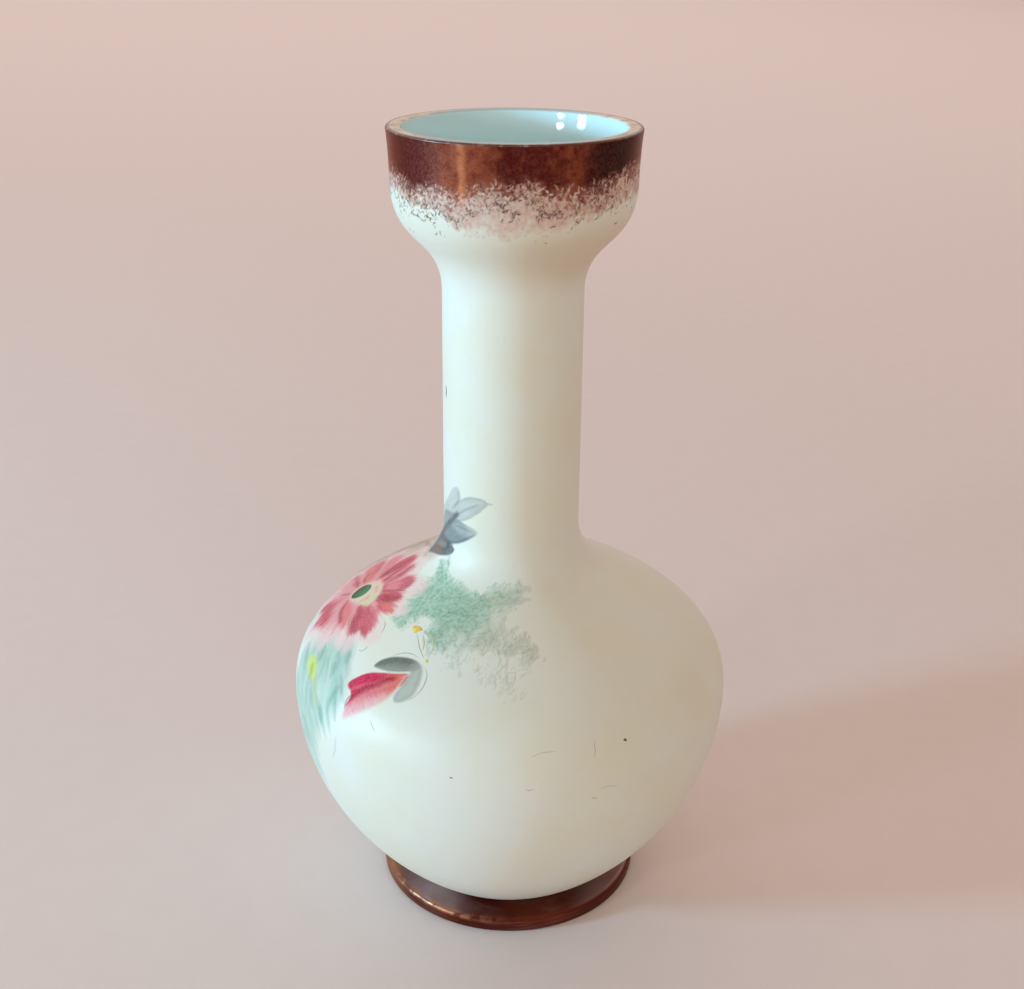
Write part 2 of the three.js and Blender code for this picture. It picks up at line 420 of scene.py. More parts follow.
PETALS = [
    ([(-5, 3.5), (-9, 5.2), (-14, 6.6), (-18.5, 6.2), (-20.5, 2.5), (-17, -0.8), (-11, -0.6), (-6, -0.5)],
     ROSE, [([(-6, 1.5), (-10, 2.2), (-14.5, 1.8)], 4.4, SALMON, 0.7),
      ([(-10, 5), (-13, 5.2), (-16, 4.6)], 3.4, ROSE_DEEP, 0.6)]),
    ([(-5, -1), (-10, -1.2), (-16, -2.2), (-19.5, -5.2), (-15, -8.2), (-9, -7), (-5, -4.5)],
     ROSE_SOFT, [([(-7, -1.8), (-11, -2.7), (-15.5, -3.8)], 3.0, ROSE_DEEP, 0.6)]),
    ([(-4.5, 4.5), (-8, 5.6), (-13.5, 6.8), (-16.5, 9.5), (-14, 13), (-9.5, 13.5), (-5.5, 10), (-4, 7)],
     ROSE_SOFT, [([(-6.5, 8), (-10, 9.2), (-13, 9.6)], 5.0, ROSE, 0.8)]),
    ([(-3.5, 5.5), (-6, 8.5), (-8, 13), (-7.2, 17.5), (-4, 19.2), (-1.2, 17.8), (-0.6, 13), (-1.4, 8.5),
      (-2, 6)],
     ROSE_FULL, [([(-3.6, 8), (-4.6, 12), (-4.8, 16.4)], 5.0, ROSE_DEEP, 0.85),
      ([(-5, 8.8), (-3.6, 8.4), (-2.6, 6.9)], 1.6, PLUM, 0.7)]),
    ([(-0.8, 6.8), (-1.4, 11), (-0.8, 16), (1.2, 18.8), (3.4, 17.7), (4.2, 13.5), (3.4, 9), (2.2, 6.8)],
     ROSE, [([(2.6, 14), (2.4, 9)], 2.6, ROSE_DEEP, 0.4),
      ([(-1.6, 15.6), (-0.2, 11), (0.8, 8.2)], 1.5, PLUM, 0.75),
      ([(0.8, 17.8), (1.8, 15.8), (2.6, 13.2)], 1.4, PLUM, 0.75)]),
    ([(3.6, 7), (3.4, 11), (4.8, 15.5), (7.2, 18.3), (9.8, 18.5), (11.6, 16), (11.4, 12.6), (9.6, 9.4),
      (7, 6.8)],
     ROSE, [([(5, 8), (7.2, 8), (9.2, 9.8)], 2.2, ROSE_DEEP, 0.7),
      ([(7, 16), (9.2, 15.8), (10.4, 13.8)], 4.0, ROSE_DEEP, 0.75),
      ([(10.8, 16.4), (11.1, 13.4), (9.9, 10.6)], 1.4, PLUM, 0.55)]),
    ([(9, 4.4), (11.5, 5.2), (14.5, 4.5), (17, 6.4), (19.4, 9.6), (18.2, 11.2), (15.6, 10.8), (12.5, 9),
      (10, 6.6)],
     ROSE_FULL, [([(13, 7.4), (15.6, 9), (18, 9.9)], 3.2, SALMON, 0.85),
      ([(9.8, 4.9), (13, 5.4), (15, 6.2)], 1.8, ROSE_DEEP, 0.7)]),
    ([(7.6, 5.2), (9.6, 5.5), (12.4, 6.7), (14.8, 9.6), (15.6, 12.8), (14.4, 14.1), (11.6, 13.4),
      (9.4, 11), (8, 8.2)],
     ROSE_FULL, [([(10.2, 9.6), (13, 12.2)], 3.0, ROSE_DEEP, 0.6),
      ([(8, 5.6), (10.8, 7.4), (13.6, 10.8)], 3.4, CRIMSON_DARK, 0.85)]),
    ([(-2.4, -5), (-5, -8), (-7.8, -11.5), (-9, -14.8), (-7.4, -17.4), (-5.2, -16.8), (-3.4, -15.9),
      (-1.6, -17.6), (0.6, -19.3), (2.6, -18), (4.6, -15.9), (7.2, -15), (7, -12), (4.2, -9),
      (1.6, -6.2)],
     ROSE_SOFT, [([(-3.4, -8.4), (-2.6, -12)], 5.2, ROSE, 0.8),
      ([(-7.2, -14.6), (-4, -13.2), (-1, -13.4), (3, -13.8)], 6.0, ROSE_DEEP, 0.9),
      ([(-2.4, -15), (-0.6, -17.4)], 2.6, ROSE_DEEP, 0.8),
      ([(-7, -15), (-6.4, -16.6)], 2.0, PLUM, 0.5)]),
    ([(0.6, -5), (3.5, -3.4), (8.4, -2.9), (11.8, -4.2), (15.2, -6.2), (12.6, -7.6), (9, -8.3), (5, -8.1),
      (2, -6.8)],
     ROSE, [([(5, -4.8), (9, -4.8), (12, -5.6)], 2.6, SALMON, 0.45),
      ([(1, -5.6), (4.8, -7.3), (9.8, -7.6)], 2.0, CRIMSON_DARK, 0.8)]),
    ([(7.6, -0.6), (8.6, 1.8), (11.6, 4), (15.6, 5.4), (19.6, 5), (22.4, 2.8), (23.4, 0.4), (21.6, -0.8),
      (19.6, -1.8), (19.4, -4.5), (16.6, -5.1), (12.6, -3.8), (9.6, -2.2)],
     ROSE, [([(12.6, 0.6), (16.4, 1.8), (20.8, 1)], 5.6, ROSE_DEEP, 0.75),
      ([(14, -1.6), (18, -1.6), (20.6, 0.2)], 3.4, ROSE_DEEP, 0.8),
      ([(8.4, -1), (13, -1.4), (17, -2.8), (18.8, -4)], 3.0, CRIMSON_DARK, 0.7)]),
]

HALO_PETALS = [  # thin washed petals behind, as lines through their middles
    [(2, 8), (2.6, 15), (3, 21.5)],
    [(5, 8), (10, 14), (13.5, 19.5)],
    [(8, 4), (14, 9), (20, 13)],
    [(8, 0), (16, 1), (24.5, 2.6)],
    [(9, -2), (16, -4.6), (22.5, -5.5)],
    [(3, -5), (10, -10), (14.5, -14.5)],
    [(-1, 6), (-4, 14), (-6, 21)],
    [(-5, 3), (-13, 8), (-19, 12)],
    [(-4, -2), (-13, -4), (-21, -6)],
    [(-2, -5), (0, -13), (2, -20.5)],
    [(-4, -5), (-9, -12), (-12, -16.5)],
]
CREAM_RING = [
    (-3.2, 2.8), (-2, 5.4), (0.6, 7), (4.6, 7.2), (8, 6), (10.4, 2.8), (8.4, 0.4), (6.6, -1.4),
    (4.2, -2.6), (1.6, -3.8), (-1.2, -4.3), (-3.4, -3.2), (-3.8, -0.4),
]
HEART = [
    (-3.1, 0.8), (-1.4, 3.1), (1.1, 3.2), (2.8, 1.4), (2.7, -1.2), (0.8, -3.6), (-1.7, -3.5), (-3, -1.4),
]
FAR_SIDE = [
    (-46, -28), (-20, -26), (-12, -15), (-11, -2), (-10, 8), (-8, 15), (-3, 19), (3, 23.4), (6, 29),
    (1, 34), (-20, 38), (-46, 38),
]
FAR_LINES = [
    [(-21.5, 17), (-17.8, 20), (-14, 21.8)],
    [(-25, 8.5), (-22, 13.6), (-19.2, 16.6)],
    [(-12.5, 21.4), (-8, 23), (-3, 24.4)],
    [(-26.5, -2), (-25.2, 2.6), (-23.8, 6)],
    [(-6, 26), (-1, 26.6), (3.4, 27.2)],
]
SEAMS = [  # where one petal overlaps the next
    [(-1, 16.5), (-0.6, 12), (0.6, 8)],
    [(-4.6, 17), (-3.2, 12.6), (-1.4, 8.6)],
    [(-6.6, 12.6), (-4.6, 9.4), (-2.8, 6.4)],
    [(3.8, 15), (3.2, 11), (3, 7.8)],
    [(12, 14.6), (9.6, 11.2), (7, 7.6)],
    [(-12, 1.6), (-8.4, 0.2), (-5.2, 0.6)],
    [(-10.8, -3.2), (-7.4, -2.2), (-4.8, -2)],
    [(-6.6, -8.2), (-4.6, -6), (-2.8, -4.4)],
]
RING_TOUCHES = [
    [(5, 2.6), (6.8, 1.4)],
    [(5.6, 0.8), (5.9, -0.6)],
    [(2, 5.4), (3.6, 5)],
    [(-2.4, 5), (-1, 5.8)],
    [(4.4, 5.6), (5.4, 4.8)],
]


def paint_flower(coats, u, v):
    """The open flower: thin petals, brushed petals, the cream ring and the green heart."""
    reach, angle = np.hypot(u, v), np.arctan2(v, u) + 9
    streak = grain(angle * 30, reach / 8 + 9, 98)
    crumb = grain(u * 1.6 + 60, v * 1.6 + 60, 97)
    smear = grain(u / 8 + 60, (v - 0.3 * u) / 1.9 + 60, 99)
    far = smooth(-2.5, 2.5, within(u, v, FAR_SIDE) + 2.5 * (smear - 0.5))
    shift = 3 * (smear - 0.5)
    far *= smooth(-43, -33, u + shift) * smooth(35, 28, v + shift) * smooth(-28, -22, v)
    rosy = (smooth(31, 19, reach + 8 * (smear - 0.5)) * smooth(14, 8, v) * 0.85)[:, None]
    tone = mixed(FAR_WASH, ROSE_SOFT, rosy) * (0.86 + 0.26 * smear)[:, None]
    coats.lay(far * (0.62 + 0.34 * smear), tone)
    for line in FAR_LINES:
        stroke(coats, u, v, line, 1.3, FAR_SHADE, soft=0.7, strength=0.75)
    for k, line in enumerate(HALO_PETALS):
        width = 9.0 + 2.0 * math.sin(2.3 * k)
        stroke(coats, u, v, line, width, ROSE_PALE, soft=1.8, strength=0.72, tail=0.5)
    edge = reach + 6 * (streak - 0.5) + 3 * (crumb - 0.5)
    coats.lay(0.6 * smooth(22.5, 17.5, edge), ROSE_PALE)
    warm = smooth(16, 8, edge)[:, None]
    glow = ROSE_SOFT * (1 - 0.75 * warm) + ROSE * 0.75 * warm
    coats.lay(smooth(19.0, 13.0, edge) * (0.72 + 0.2 * streak), glow)
    for k, (outline, own_tone, pulls) in enumerate(PETALS):
        at = around(u, v, outline, 1.5)
        x, y = u[at], v[at]
        reach, angle = np.hypot(x, y), np.arctan2(y, x) + 9
        streak = grain(angle * 20, reach / 5 + 9, 100 + k)
        fine = grain(angle * 52, reach / 3.4 + 9, 140 + k)
        inside = within(x, y, outline)
        pale = np.clip(0.4 * smooth(1.6, 0.1, inside) + 0.5 * (fine - 0.6), 0, 0.7)[:, None]
        colour = mixed(own_tone * (0.86 + 0.24 * streak)[:, None], ROSE_SOFT, pale)
        for line, width, tone, strength in pulls:
            gap, _ = near_line(x, y, through(line))
            pull = strength * smooth(1.7, 0.2, 2 * gap / width + 0.7 * (streak - 0.5) + 0.5 * (fine - 0.5))
            colour = mixed(colour, tone, pull[:, None])
        coats.lay(0.94 * smooth(-1.0, 1.1, inside + 1.6 * (fine - 0.5)), colour, at)
    for line in SEAMS:
        stroke(coats, u, v, line, 1.0, PLUM, soft=0.55, strength=0.55, tail=0.2)
    at = around(u, v, CREAM_RING, 1.5)
    x, y = u[at], v[at]
    speckle = grain(x * 1.1 + 30, y * 1.1 + 30, 7)
    green = (0.75 * smooth(3.0, 8.0, x + 2 * (speckle - 0.5)))[:, None]
    ring = mixed(CREAM, PALE_GREEN, green) * (0.94 + 0.12 * speckle)[:, None]
    coats.lay(0.88 * smooth(-0.7, 0.9, within(x, y, CREAM_RING) + 0.9 * swing(x + 9, y + 9, 8)), ring, at)
    for line in RING_TOUCHES:
        stroke(coats, u, v, line, 1.1, SALMON, soft=0.5, strength=0.5)
    at = around(u, v, HEART, 1.0)
    x, y = u[at], v[at]
    light = smooth(-2.5, 2.5, x + 0.6 * y + 1.2 * swing(x, y, 9))[:, None]
    coats.lay(smooth(-0.2, 0.25, within(x, y, HEART)), mixed(HEART_SHADE, HEART_GREEN, light), at)


# The bud

BUD_UPPER = [
    (4.1, 6.7), (0, 5.3), (-4.3, 4), (-7.9, 2.7), (-10.8, 0.6), (-13, -1.9), (-12.4, -3.4), (-11, -4.1),
    (-10.2, -5.6), (-10.6, -8.6), (-9.2, -7), (-7.6, -3.8), (-5.4, -1.4), (-3, 0.6), (-0.8, 2.3),
    (2.6, 4.6),
]
BUD_LOWER = [
    (4.3, 6.2), (4, 3.4), (3.4, 0.2), (2, -3), (-1, -6.4), (-4.6, -9.2), (-8.2, -11.4), (-10.2, -11.9),
    (-10.9, -10), (-10.4, -7.4), (-9, -4), (-5.2, 0.7), (-0.6, 4.1),
]
BUD_FOLD = [(0.4, 3.5), (-1.4, 2.3), (-3.2, 0.5), (-5.5, -1.3), (-7.4, -3.2), (-9.2, -5.4)]
BUD_LEAF = [
    (-7.9, 5.2), (-6.6, 7.4), (-4, 9.3), (-1, 10.4), (2, 11), (4.6, 10.8), (6.2, 9.6), (5.6, 8.1),
    (2.6, 6.5), (-1.6, 5), (-5, 4.5), (-7.2, 4.5),
]
BUD_LEAF_VEIN = [(-6.4, 5.6), (-4, 7.2), (-1.4, 8.4), (1, 8.6)]
CALYX = [
    (3.8, 10.4), (6.4, 9.8), (8, 7.2), (8.7, 4), (8.5, 1.2), (6.8, -1), (4.6, -2), (3.5, -0.6), (4, 2.6),
    (4.5, 5.2), (4.1, 7.4),
]


def paint_bud(coats, x, y):
    """The closed bud with its grey leaf and calyx."""
    hair = grain((x + 1.4 * y) * 1.5 + 50, (y - x) * 0.3 + 50, 21)
    wisp = grain((y - 0.4 * x) * 1.6 + 50, (x + 0.4 * y) * 0.22 + 50, 22)
    inside = within(x, y, CALYX)
    shade = np.clip(0.8 * smooth(1.6, 0.0, inside) + 0.3 * (wisp - 0.3), 0, 1)[:, None]
    coats.lay(0.85 * smooth(-0.6, 0.7, inside), CALYX_GREY * (1 - 0.3 * shade))
    inside = within(x, y, BUD_LEAF)
    dark = smooth(3.6, 0.2, 10.6 - 0.035 * (x - 4) ** 2 - y) * smooth(6, 1, x) + 0.35 * (wisp - 0.5)
    dark = np.clip(dark, 0, 1)[:, None]
    coats.lay(smooth(-0.2, 0.6, inside) * (1 - 0.45 * smooth(2.5, 6, x)), mixed(LEAF_GREY, LEAF_DARK, dark))
    stroke(coats, x, y, BUD_LEAF_VEIN, 0.5, LEAF_DARK, soft=0.4, strength=0.5)
    gap, _ = near_line(x, y, through(BUD_FOLD))
    fading = smooth(2.2, 8.5, gap + 1.6 * (hair - 0.5))[:, None]
    root = smooth(-3, 3.5, x)[:, None]
    tone = mixed(ROSE, SALMON, root) * (0.94 + 0.12 * hair)[:, None]
    tone = mixed(tone, ROSE_PALE, fading)
    low = within(x, y, BUD_LOWER) + 1.1 * (hair - 0.5) * smooth(2, 6, gap)
    coats.lay(smooth(-0.4, 1.4, low) * (1 - 0.5 * fading[:, 0]), tone)
    for k in range(7):
        place = np.array([-9.0 + 1.3 * k, -8.8 + 0.75 * k])
        hatch = [place, place + [0.9, 1.4], place + [1.5, 3.2]]
        stroke(coats, x, y, hatch, 0.9, ROSE_PALE, soft=0.7, strength=0.3)
    stroke(coats, x, y, [(4.2, 5.9), (4.1, 4.4), (3.7, 2.6)], 0.8, ROSE_DEEP, soft=0.35, strength=0.7)
    red = smooth(4.5, -5, x + 3 * (wisp - 0.5))[:, None]
    tone = mixed(SALMON, CRIMSON, red) * (0.93 + 0.14 * wisp)[:, None]
    light = (0.25 * smooth(1.0, 0.2, np.abs(y - 0.32 * x - 2.4 + 0.02 * x * x)))[:, None]
    fill(coats, x, y, BUD_UPPER, -0.2, 0.5, mixed(tone, ROSE_SOFT, light))
    strokes(coats, x, y, [
        (BUD_FOLD, 1.8, CRIMSON_DARK, 0.8, 0.75, 0.6),
        ([(1.6, 4.4), (-0.4, 3.2), (-2, 1.9)], 1.2, PLUM, 0.7, 0.35),
        ([(-10.5, -5.4), (-10.8, -7), (-10.6, -8.8)], 0.5, PLUM, 0.3, 0.7),
    ])


# The leaves that climb the neck

UP_LEAF = [
    (-2, 9.6), (-4.6, 8.1), (-7.4, 4.4), (-10.5, 1), (-14, -2), (-9, -2), (-2.4, 1.6), (-0.6, 4.8),
    (-0.5, 8),
]
RIGHT_LEAF = [
    (-5.5, 1.5), (-0.5, 6.2), (3, 8.1), (6.8, 8.3), (8.6, 6.9), (6.8, 4.6), (4, 2.4), (1, 0.3),
    (-3, -1.4),
]
MID_LEAF = [
    (-12.5, -8.6), (-8.4, -4.4), (-5.4, -1.6), (-2.4, -0.3), (1.5, -0.7), (4.6, -1.4), (5.6, -2.6),
    (4, -4.4), (0.2, -7), (-4, -8.9), (-8, -10), (-12, -11.2),
]
SHADED_LEAF = [
    (-13, -6.5), (-10.6, -1.6), (-8.2, 0.4), (-5, 0.9), (-1.8, 1.5), (-3.6, -1.2), (-5.4, -3.2),
    (-8.2, -5.4), (-11.5, -8.5),
]
CURLED_LEAF = [
    (-7.4, -9.2), (-4.6, -9), (-2.4, -9.9), (-3.6, -11.8), (-7.6, -13.6), (-12, -15), (-17.5, -16.6),
    (-15.5, -13.8), (-11.5, -12), (-8.8, -11.4), (-7, -10.6),
]
LEAF_VEINS = [
    [(-2.6, 0.4), (1.2, 3.4), (5.8, 6.2)],
    [(-2, -1), (2.4, 1.2), (6.6, 4.4)],
    [(-3.4, 2.8), (-1.4, 5.6), (-1.6, 8.4)],
    [(-3, -2.6), (0.6, -2.4), (4.4, -2.6)],
]
LEAF_HOLLOW = [
    (-13, -8.6), (-8, -8.2), (-4.4, -8.6), (-3.4, -10.4), (-7, -12.2), (-12, -13.2), (-16, -14.6),
]


def paint_leaves(coats, x, y):
    """The slate-blue leaves that climb the neck."""
    hair = grain((y - 0.6 * x) * 1.1 + 50, (x + 0.6 * y) * 0.3 + 50, 31)[:, None]
    tone = SLATE_PALE * (0.92 + 0.14 * hair)
    fill(coats, x, y, UP_LEAF, -0.3, 0.7, tone, 0.85)
    inside = within(x, y, RIGHT_LEAF)
    edge = (0.22 * smooth(1.2, 0.1, inside) * smooth(0, 5, y))[:, None]
    coats.lay(0.92 * smooth(-0.2, 0.6, inside), tone * (1 - edge))
    down = smooth(-1.8, -6.5, y + 0.3 * x + 1.5 * (hair[:, 0] - 0.5))[:, None]
    light = smooth(0.5, 4.5, x + 0.5 * y + 1.2)[:, None]
    tone = mixed(mixed(SLATE, STEEL, down), SLATE_PALE, light)
    fill(coats, x, y, MID_LEAF, -0.2, 0.6, tone * (0.93 + 0.14 * hair), 0.95)
    stroke(coats, x, y, [(-3.4, -2.6), (-0.8, -3.8), (3.6, -3.4)], 1.6, SLATE_PALE, soft=1.0, strength=0.35)
    fill(coats, x, y, SHADED_LEAF, -0.3, 0.8, (SLATE * 0.7 + UMBER * 0.3) * (0.85 + 0.2 * hair), 0.85)
    fill(coats, x, y, LEAF_HOLLOW, -0.4, 0.8, (STEEL_DARK * 0.5 + UMBER * 0.5) * (0.9 + 0.3 * hair), 0.85)
    brown = smooth(-6.5, -9.5, x)[:, None]
    fill(coats, x, y, CURLED_LEAF, -0.2, 0.6, mixed(STEEL_DARK, UMBER, brown) * (0.9 + 0.3 * hair), 0.95)
    strokes(coats, x, y, [
        ([(-4.2, -9.6), (-4.6, -11.2), (-6.4, -12)], 1.6, STEEL, 0.7, 0.55),
        ([(-1.8, 1.3), (-4.4, -1.4), (-8.2, -4.8), (-11.4, -8.4), (-14.2, -12)],
         1.7, STEEL_DARK, 0.7, 0.8, 0.55),
        ([(-9, -5.8), (-11.4, -8.4), (-13.6, -11)], 1.2, UMBER, 0.6, 0.6),
        ([(-12.4, -9), (-14.8, -12), (-16.8, -15.4)], 3.2, STEEL_DARK, 1.0, 0.7, 0.8),
        ([(4.4, -3.4), (0.2, -6.4), (-4, -8.4), (-8.5, -9.6)], 0.8, STEEL_DARK, 0.5, 0.5),
        ([(8.4, 7), (9.6, 6.9)], 0.5, SLATE, 0.3, 0.6),
    ])
    for vein in LEAF_VEINS:
        stroke(coats, x, y, vein, 0.5, STEEL_DARK, soft=0.45, strength=0.4, tail=0.2)


# The mossy sponge work

MOSS_PATCH = [
    (-15.5, 19), (-13, 18), (-10.8, 14.6), (-7, 12), (-3, 10.8), (1, 11.6), (5, 14.4), (9.5, 16.6),
    (12, 15.6), (12, 12), (10, 8.6), (8, 4.6), (6, 1), (2.5, -2.6), (-1, -5.5), (-5, -8.5), (-8.6, -9),
    (-10.4, -5), (-12, -0.5), (-14, 1.4), (-17, -0.5), (-20.5, -2.5), (-23, 0), (-21.5, 5), (-19.5, 9.5),
    (-17.4, 13),
]
MOSS_SPRAY = [
    (-9, -1), (-3, 1), (2, 2), (6, 0.6), (11, 0.8), (16, 0.4), (19.5, -2.2), (19, -6), (14, -9.2),
    (8, -8.8), (2, -8.4), (-3, -9.2), (-8, -8),
]
MOSS_FAINT = [
    (-3, -9), (2, -9.5), (10, -9), (20, -9), (20.5, -15), (17, -19), (10, -19), (4, -18), (0, -16),
    (-3, -12),
]
MOSS_FRONDS = [
    [(-5, 3), (-6.4, -1.6), (-8.6, -6.4)],
    [(-2, 2), (-2.8, -3), (-4.6, -8.4)],
    [(1.4, 1), (0.8, -4), (-1, -9.6)],
    [(4.6, 2), (4.4, -2.6), (3, -8)],
    [(8.4, 4), (8, -0.6), (6.8, -5)],
    [(2, 8.6), (7, 11.6), (12.6, 15.4)],
    [(0.4, 6.4), (7.4, 9), (13.4, 12.2)],
]


def moss_depth(u, v):
    """How thickly the moss lies at a place of its panel, 0 to 1."""
    wobble = 3.0 * swing(u / 2.1 + 20, v / 2.1 + 20, 41) + 1.8 * swing(u * 1.3 + 40, v * 1.3 + 40, 42)
    feather = 5.0 * swing(u / 1.9 + 20, v / 2.6 + 20, 41) + 3.4 * swing(u * 1.9 + 60, v * 0.45 + 60, 46)
    patch = smooth(-2.0, 2.6, within(u, v, MOSS_PATCH) + wobble) * (1 - 0.68 * smooth(-3, 8, u))
    patch *= 1 - 0.5 * smooth(3, -6, v) * smooth(-10, -3, u)
    spray = smooth(-3.2, 4.2, within(u, v, MOSS_SPRAY) + feather) * (0.3 + 0.16 * smooth(2, 9, u))
    faint = 0.2 * smooth(-3.4, 5.0, within(u, v, MOSS_FAINT) + 1.2 * feather)
    return np.maximum(np.maximum(patch, spray), faint)


def touches(coats, u, v, rows, soft=0.14):
    """Many small curved touches of a brush or sponge: place, angle, length, width, colour and strength."""
    for place, angle, length, width, colour, strength in rows:
        ahead = np.array([math.cos(angle), math.sin(angle)])
        beyond = np.array([math.cos(angle + 0.7), math.sin(angle + 0.7)])
        line = np.array([place, place + ahead * length / 2, place + (ahead + beyond) * length / 2])
        at = around(u, v, line, width)
        if len(at):
            gap, along = near_line(u[at], v[at], line)
            half = width / 2 * (1 - 0.6 * along)
            coats.lay(strength * smooth(-soft, soft, half - gap), colour, at)


MOSS_SEED, MOSS_TOUCHES, MOSS_BOX = 43, 12000, ((-28, -23), (24, 21))


def paint_moss(coats, x, y):
    """Soft mint under a stipple of small curved touches, which end in upright grey hairs at the right."""
    thick = moss_depth(x, y)
    mottle = grain(x * 1.3 + 30, y * 1.3 + 30, 44)
    fine = grain(x * 3.1 + 30, y * 2.1 + 30, 45)
    grey = smooth(2, 14, x - 0.5 * y)[:, None]
    tone = (0.86 + 0.16 * mottle + 0.14 * fine)[:, None]
    base = mixed(MINT, SPRAY_GREY, grey) * tone
    cover = thick * (0.62 + 0.34 * mottle + 0.3 * (fine - 0.5)) * (1 - 0.36 * grey[:, 0])
    coats.lay(np.clip(cover, 0, 0.95), base)
    for line in MOSS_FRONDS:
        stroke(coats, x, y, line, 1.6, SPRAY_GREY, soft=1.1, strength=0.38, tail=0.3)
    random = np.random.default_rng(MOSS_SEED)
    places = random.uniform(*MOSS_BOX, (MOSS_TOUCHES, 2))
    depth = moss_depth(places[:, 0], places[:, 1])
    kept = random.random(len(places)) < 0.85 * depth
    places, depth = places[kept], depth[kept]
    count = len(places)
    grey = smooth(0, 10, places[:, 0] - 0.5 * places[:, 1])
    fan = np.arctan2(places[:, 1] - 6, places[:, 0] + 14)
    upright = 1.9 - 0.06 * places[:, 0]
    angles = fan + (upright - fan) * grey + random.normal(0, 0.7, count) * (1 - 0.5 * grey)
    long = random.uniform(0.5, 2.0, count) * (1 + 0.6 * grey)
    widths = random.uniform(0.2, 0.58, count) * (1 - 0.3 * grey)
    dark = random.random(count)[:, None] < 0.5
    share = grey[:, None]
    tones = np.where(dark, mixed(MINT_DARK, SPRAY_DARK, share), mixed(MINT_LIGHT, SPRAY_GREY, share))
    strengths = random.uniform(0.18, 0.5, count) * (1 - 0.4 * grey) * (0.45 + 0.55 * smooth(0.05, 0.4, depth))
    touches(coats, x, y, zip(places, angles, long, widths, tones, strengths), soft=0.24)


# The turquoise strokes at the left, with a lime bloom on them

TURQUOISE_PATCH = [
    (-13, 11), (-4, 14), (3, 10), (8, 6), (8.6, 0), (6, -7), (0.4, -14), (-0.6, -25), (-6, -34),
    (-14, -32), (-20, -14), (-24, 2),
]
WASH_SEED, WASH_STROKES, WASH_BOX = 51, 240, ((-24, -36), (9, 13))
WASH_TONES = [TEAL, TEAL, TURQUOISE, SKY_STROKE, MINT_LIGHT]


def paint_wash(coats, x, y):
    """Broad soft strokes that run down the left of the bulb."""
    pull = grain((x * 0.8 + y * 0.55) / 1.5 + 40, (y - x) / 13 + 40, 51)
    inside = within(x, y, TURQUOISE_PATCH)
    laid = smooth(-3.5, 4, inside + 5 * (pull - 0.5)) * (1 - 0.6 * smooth(-10, -34, y))
    coats.lay(laid * (0.42 + 0.34 * pull), TURQUOISE)
    random = np.random.default_rng(WASH_SEED)
    places = random.uniform(*WASH_BOX, (WASH_STROKES, 2))
    places = places[within(places[:, 0], places[:, 1], TURQUOISE_PATCH) > 0.5]
    for place in places:
        slope = math.radians(random.normal(-48, 9))
        ahead = np.array([math.cos(slope), math.sin(slope)]) * random.uniform(3.5, 9)
        tone = WASH_TONES[random.integers(len(WASH_TONES))]
        bend = np.array([-ahead[1], ahead[0]]) * 0.08
        line = [place - ahead / 2, place + bend, place + ahead / 2]
        width = random.uniform(0.6, 1.9)
        strength = random.uniform(0.16, 0.4) * float(smooth(-36, -10, place[1]))
        stroke(coats, x, y, line, width, tone, soft=0.5, strength=strength, tail=0.25)


LIME_BLOOM = [(-15.2, 2.4), (-12.4, 1.8), (-9.4, 0.6)]


def paint_bloom(coats, x, y):
    """A lime-green bloom on the turquoise, with its stalk."""
    strokes(coats, x, y, [
        ([(-8.6, 0.4), (-5, -2.2), (-1, -6.4)], 2.2, PALE_GREEN, 0.9, 0.7, 0.3),
        (LIME_BLOOM, 4.4, LEMON, 1.3, 0.85, 0.6),
        ([(-12.6, 1.8), (-11.4, 0.4), (-11, -1)], 2.0, LEMON_SHADE, 0.8, 0.7, 0.6),
        ([(-7.6, -0.2), (-4, -2.9), (-0.8, -6.2)], 0.6, SPRAY_GREY, 0.4, 0.5),
        ([(10.8, -9), (10.2, -12.6), (8.8, -15.4)], 0.6, SPRAY_GREY, 0.5, 0.35),
        ([(4.6, 3.4), (4, -1), (4.4, -4.6)], 1.6, TEAL, 0.9, 0.4),
    ])


# The lustre band round the mouth

BAND_DEPTH = 12.2
BAND_DEPTH_AT = {
    -64: -0.4, -50: 2.6, -36: 1.4, -26: 2.6, -12: -1.0,
    0: 0.2, 7: -1.6, 15: 0.7, 37: 1.0, 60: -2.0,
}
WASH_REACH_AT = {-75: 3, -46: 2, -34: 3, -22: 10, -10: 13, 5: 12, 15: 10, 30: 7, 57: 6, 75: 7}
BROWN_AT = {
    -75: 0.3, -57: 0.1, -43: 0.12, -33: 0.42, -25: 0.6, -15: 0.62, -8: 0.5, -2: 0.1, 8: 0.06,
    14: 0.3, 18: 0.32, 22: 0.5, 27: 0.58, 34: 0.3, 42: 0.06, 57: 0.06, 75: 0.25,
}
MOTTLE_AT = {-75: 0.2, -36: 0.25, -20: 0.8, 0: 1.0, 75: 1.0}
# Painted shade and painted reflection: the lustre made lighter at its grazing left edge and darker on the
# right
PAINTED_SHADE_AND_REFLECTION_AT = {
    -75: 1.6, -62: 1.05, -50: 0.92, -40: 0.9, -20: 1.0, 0: 0.95,
    20: 1.05, 30: 0.9, 38: 0.4, 54: 0.22, 68: 0.5, 75: 0.7,
}
LIP_TURN = FULL_TURN * RIM_RADIUS  # length of the lip, all the way round

LUSTRE_DARK = paint_colour(92, 18, 10)
LUSTRE_BROWN = paint_colour(150, 78, 50)
LUSTRE_HAZE = paint_colour(164, 104, 90)
LUSTRE_WASH = paint_colour(206, 168, 154)
# A painted highlight: a light streak down the band, and the turn it stands at
LUSTRE_PAINTED_HIGHLIGHT = paint_colour(206, 136, 88)
FLECK = paint_colour(58, 20, 16)
PAINTED_HIGHLIGHT_TURN = -22.5
BAND_METAL = 0.85
BAND_REACH = 26  # from the lip down to the lowest flecks
FLECK_SEED, FLECKS = 63, 20000


def round_lip(points):
    """Distance round the lip from the front, and height above the lip, negative below it."""
    turn = np.arctan2(points[:, 0], -points[:, 1])
    return turn * RIM_RADIUS, np.interp(points[:, 2], OUTSIDE[:, 1], CLIMB) - LIP


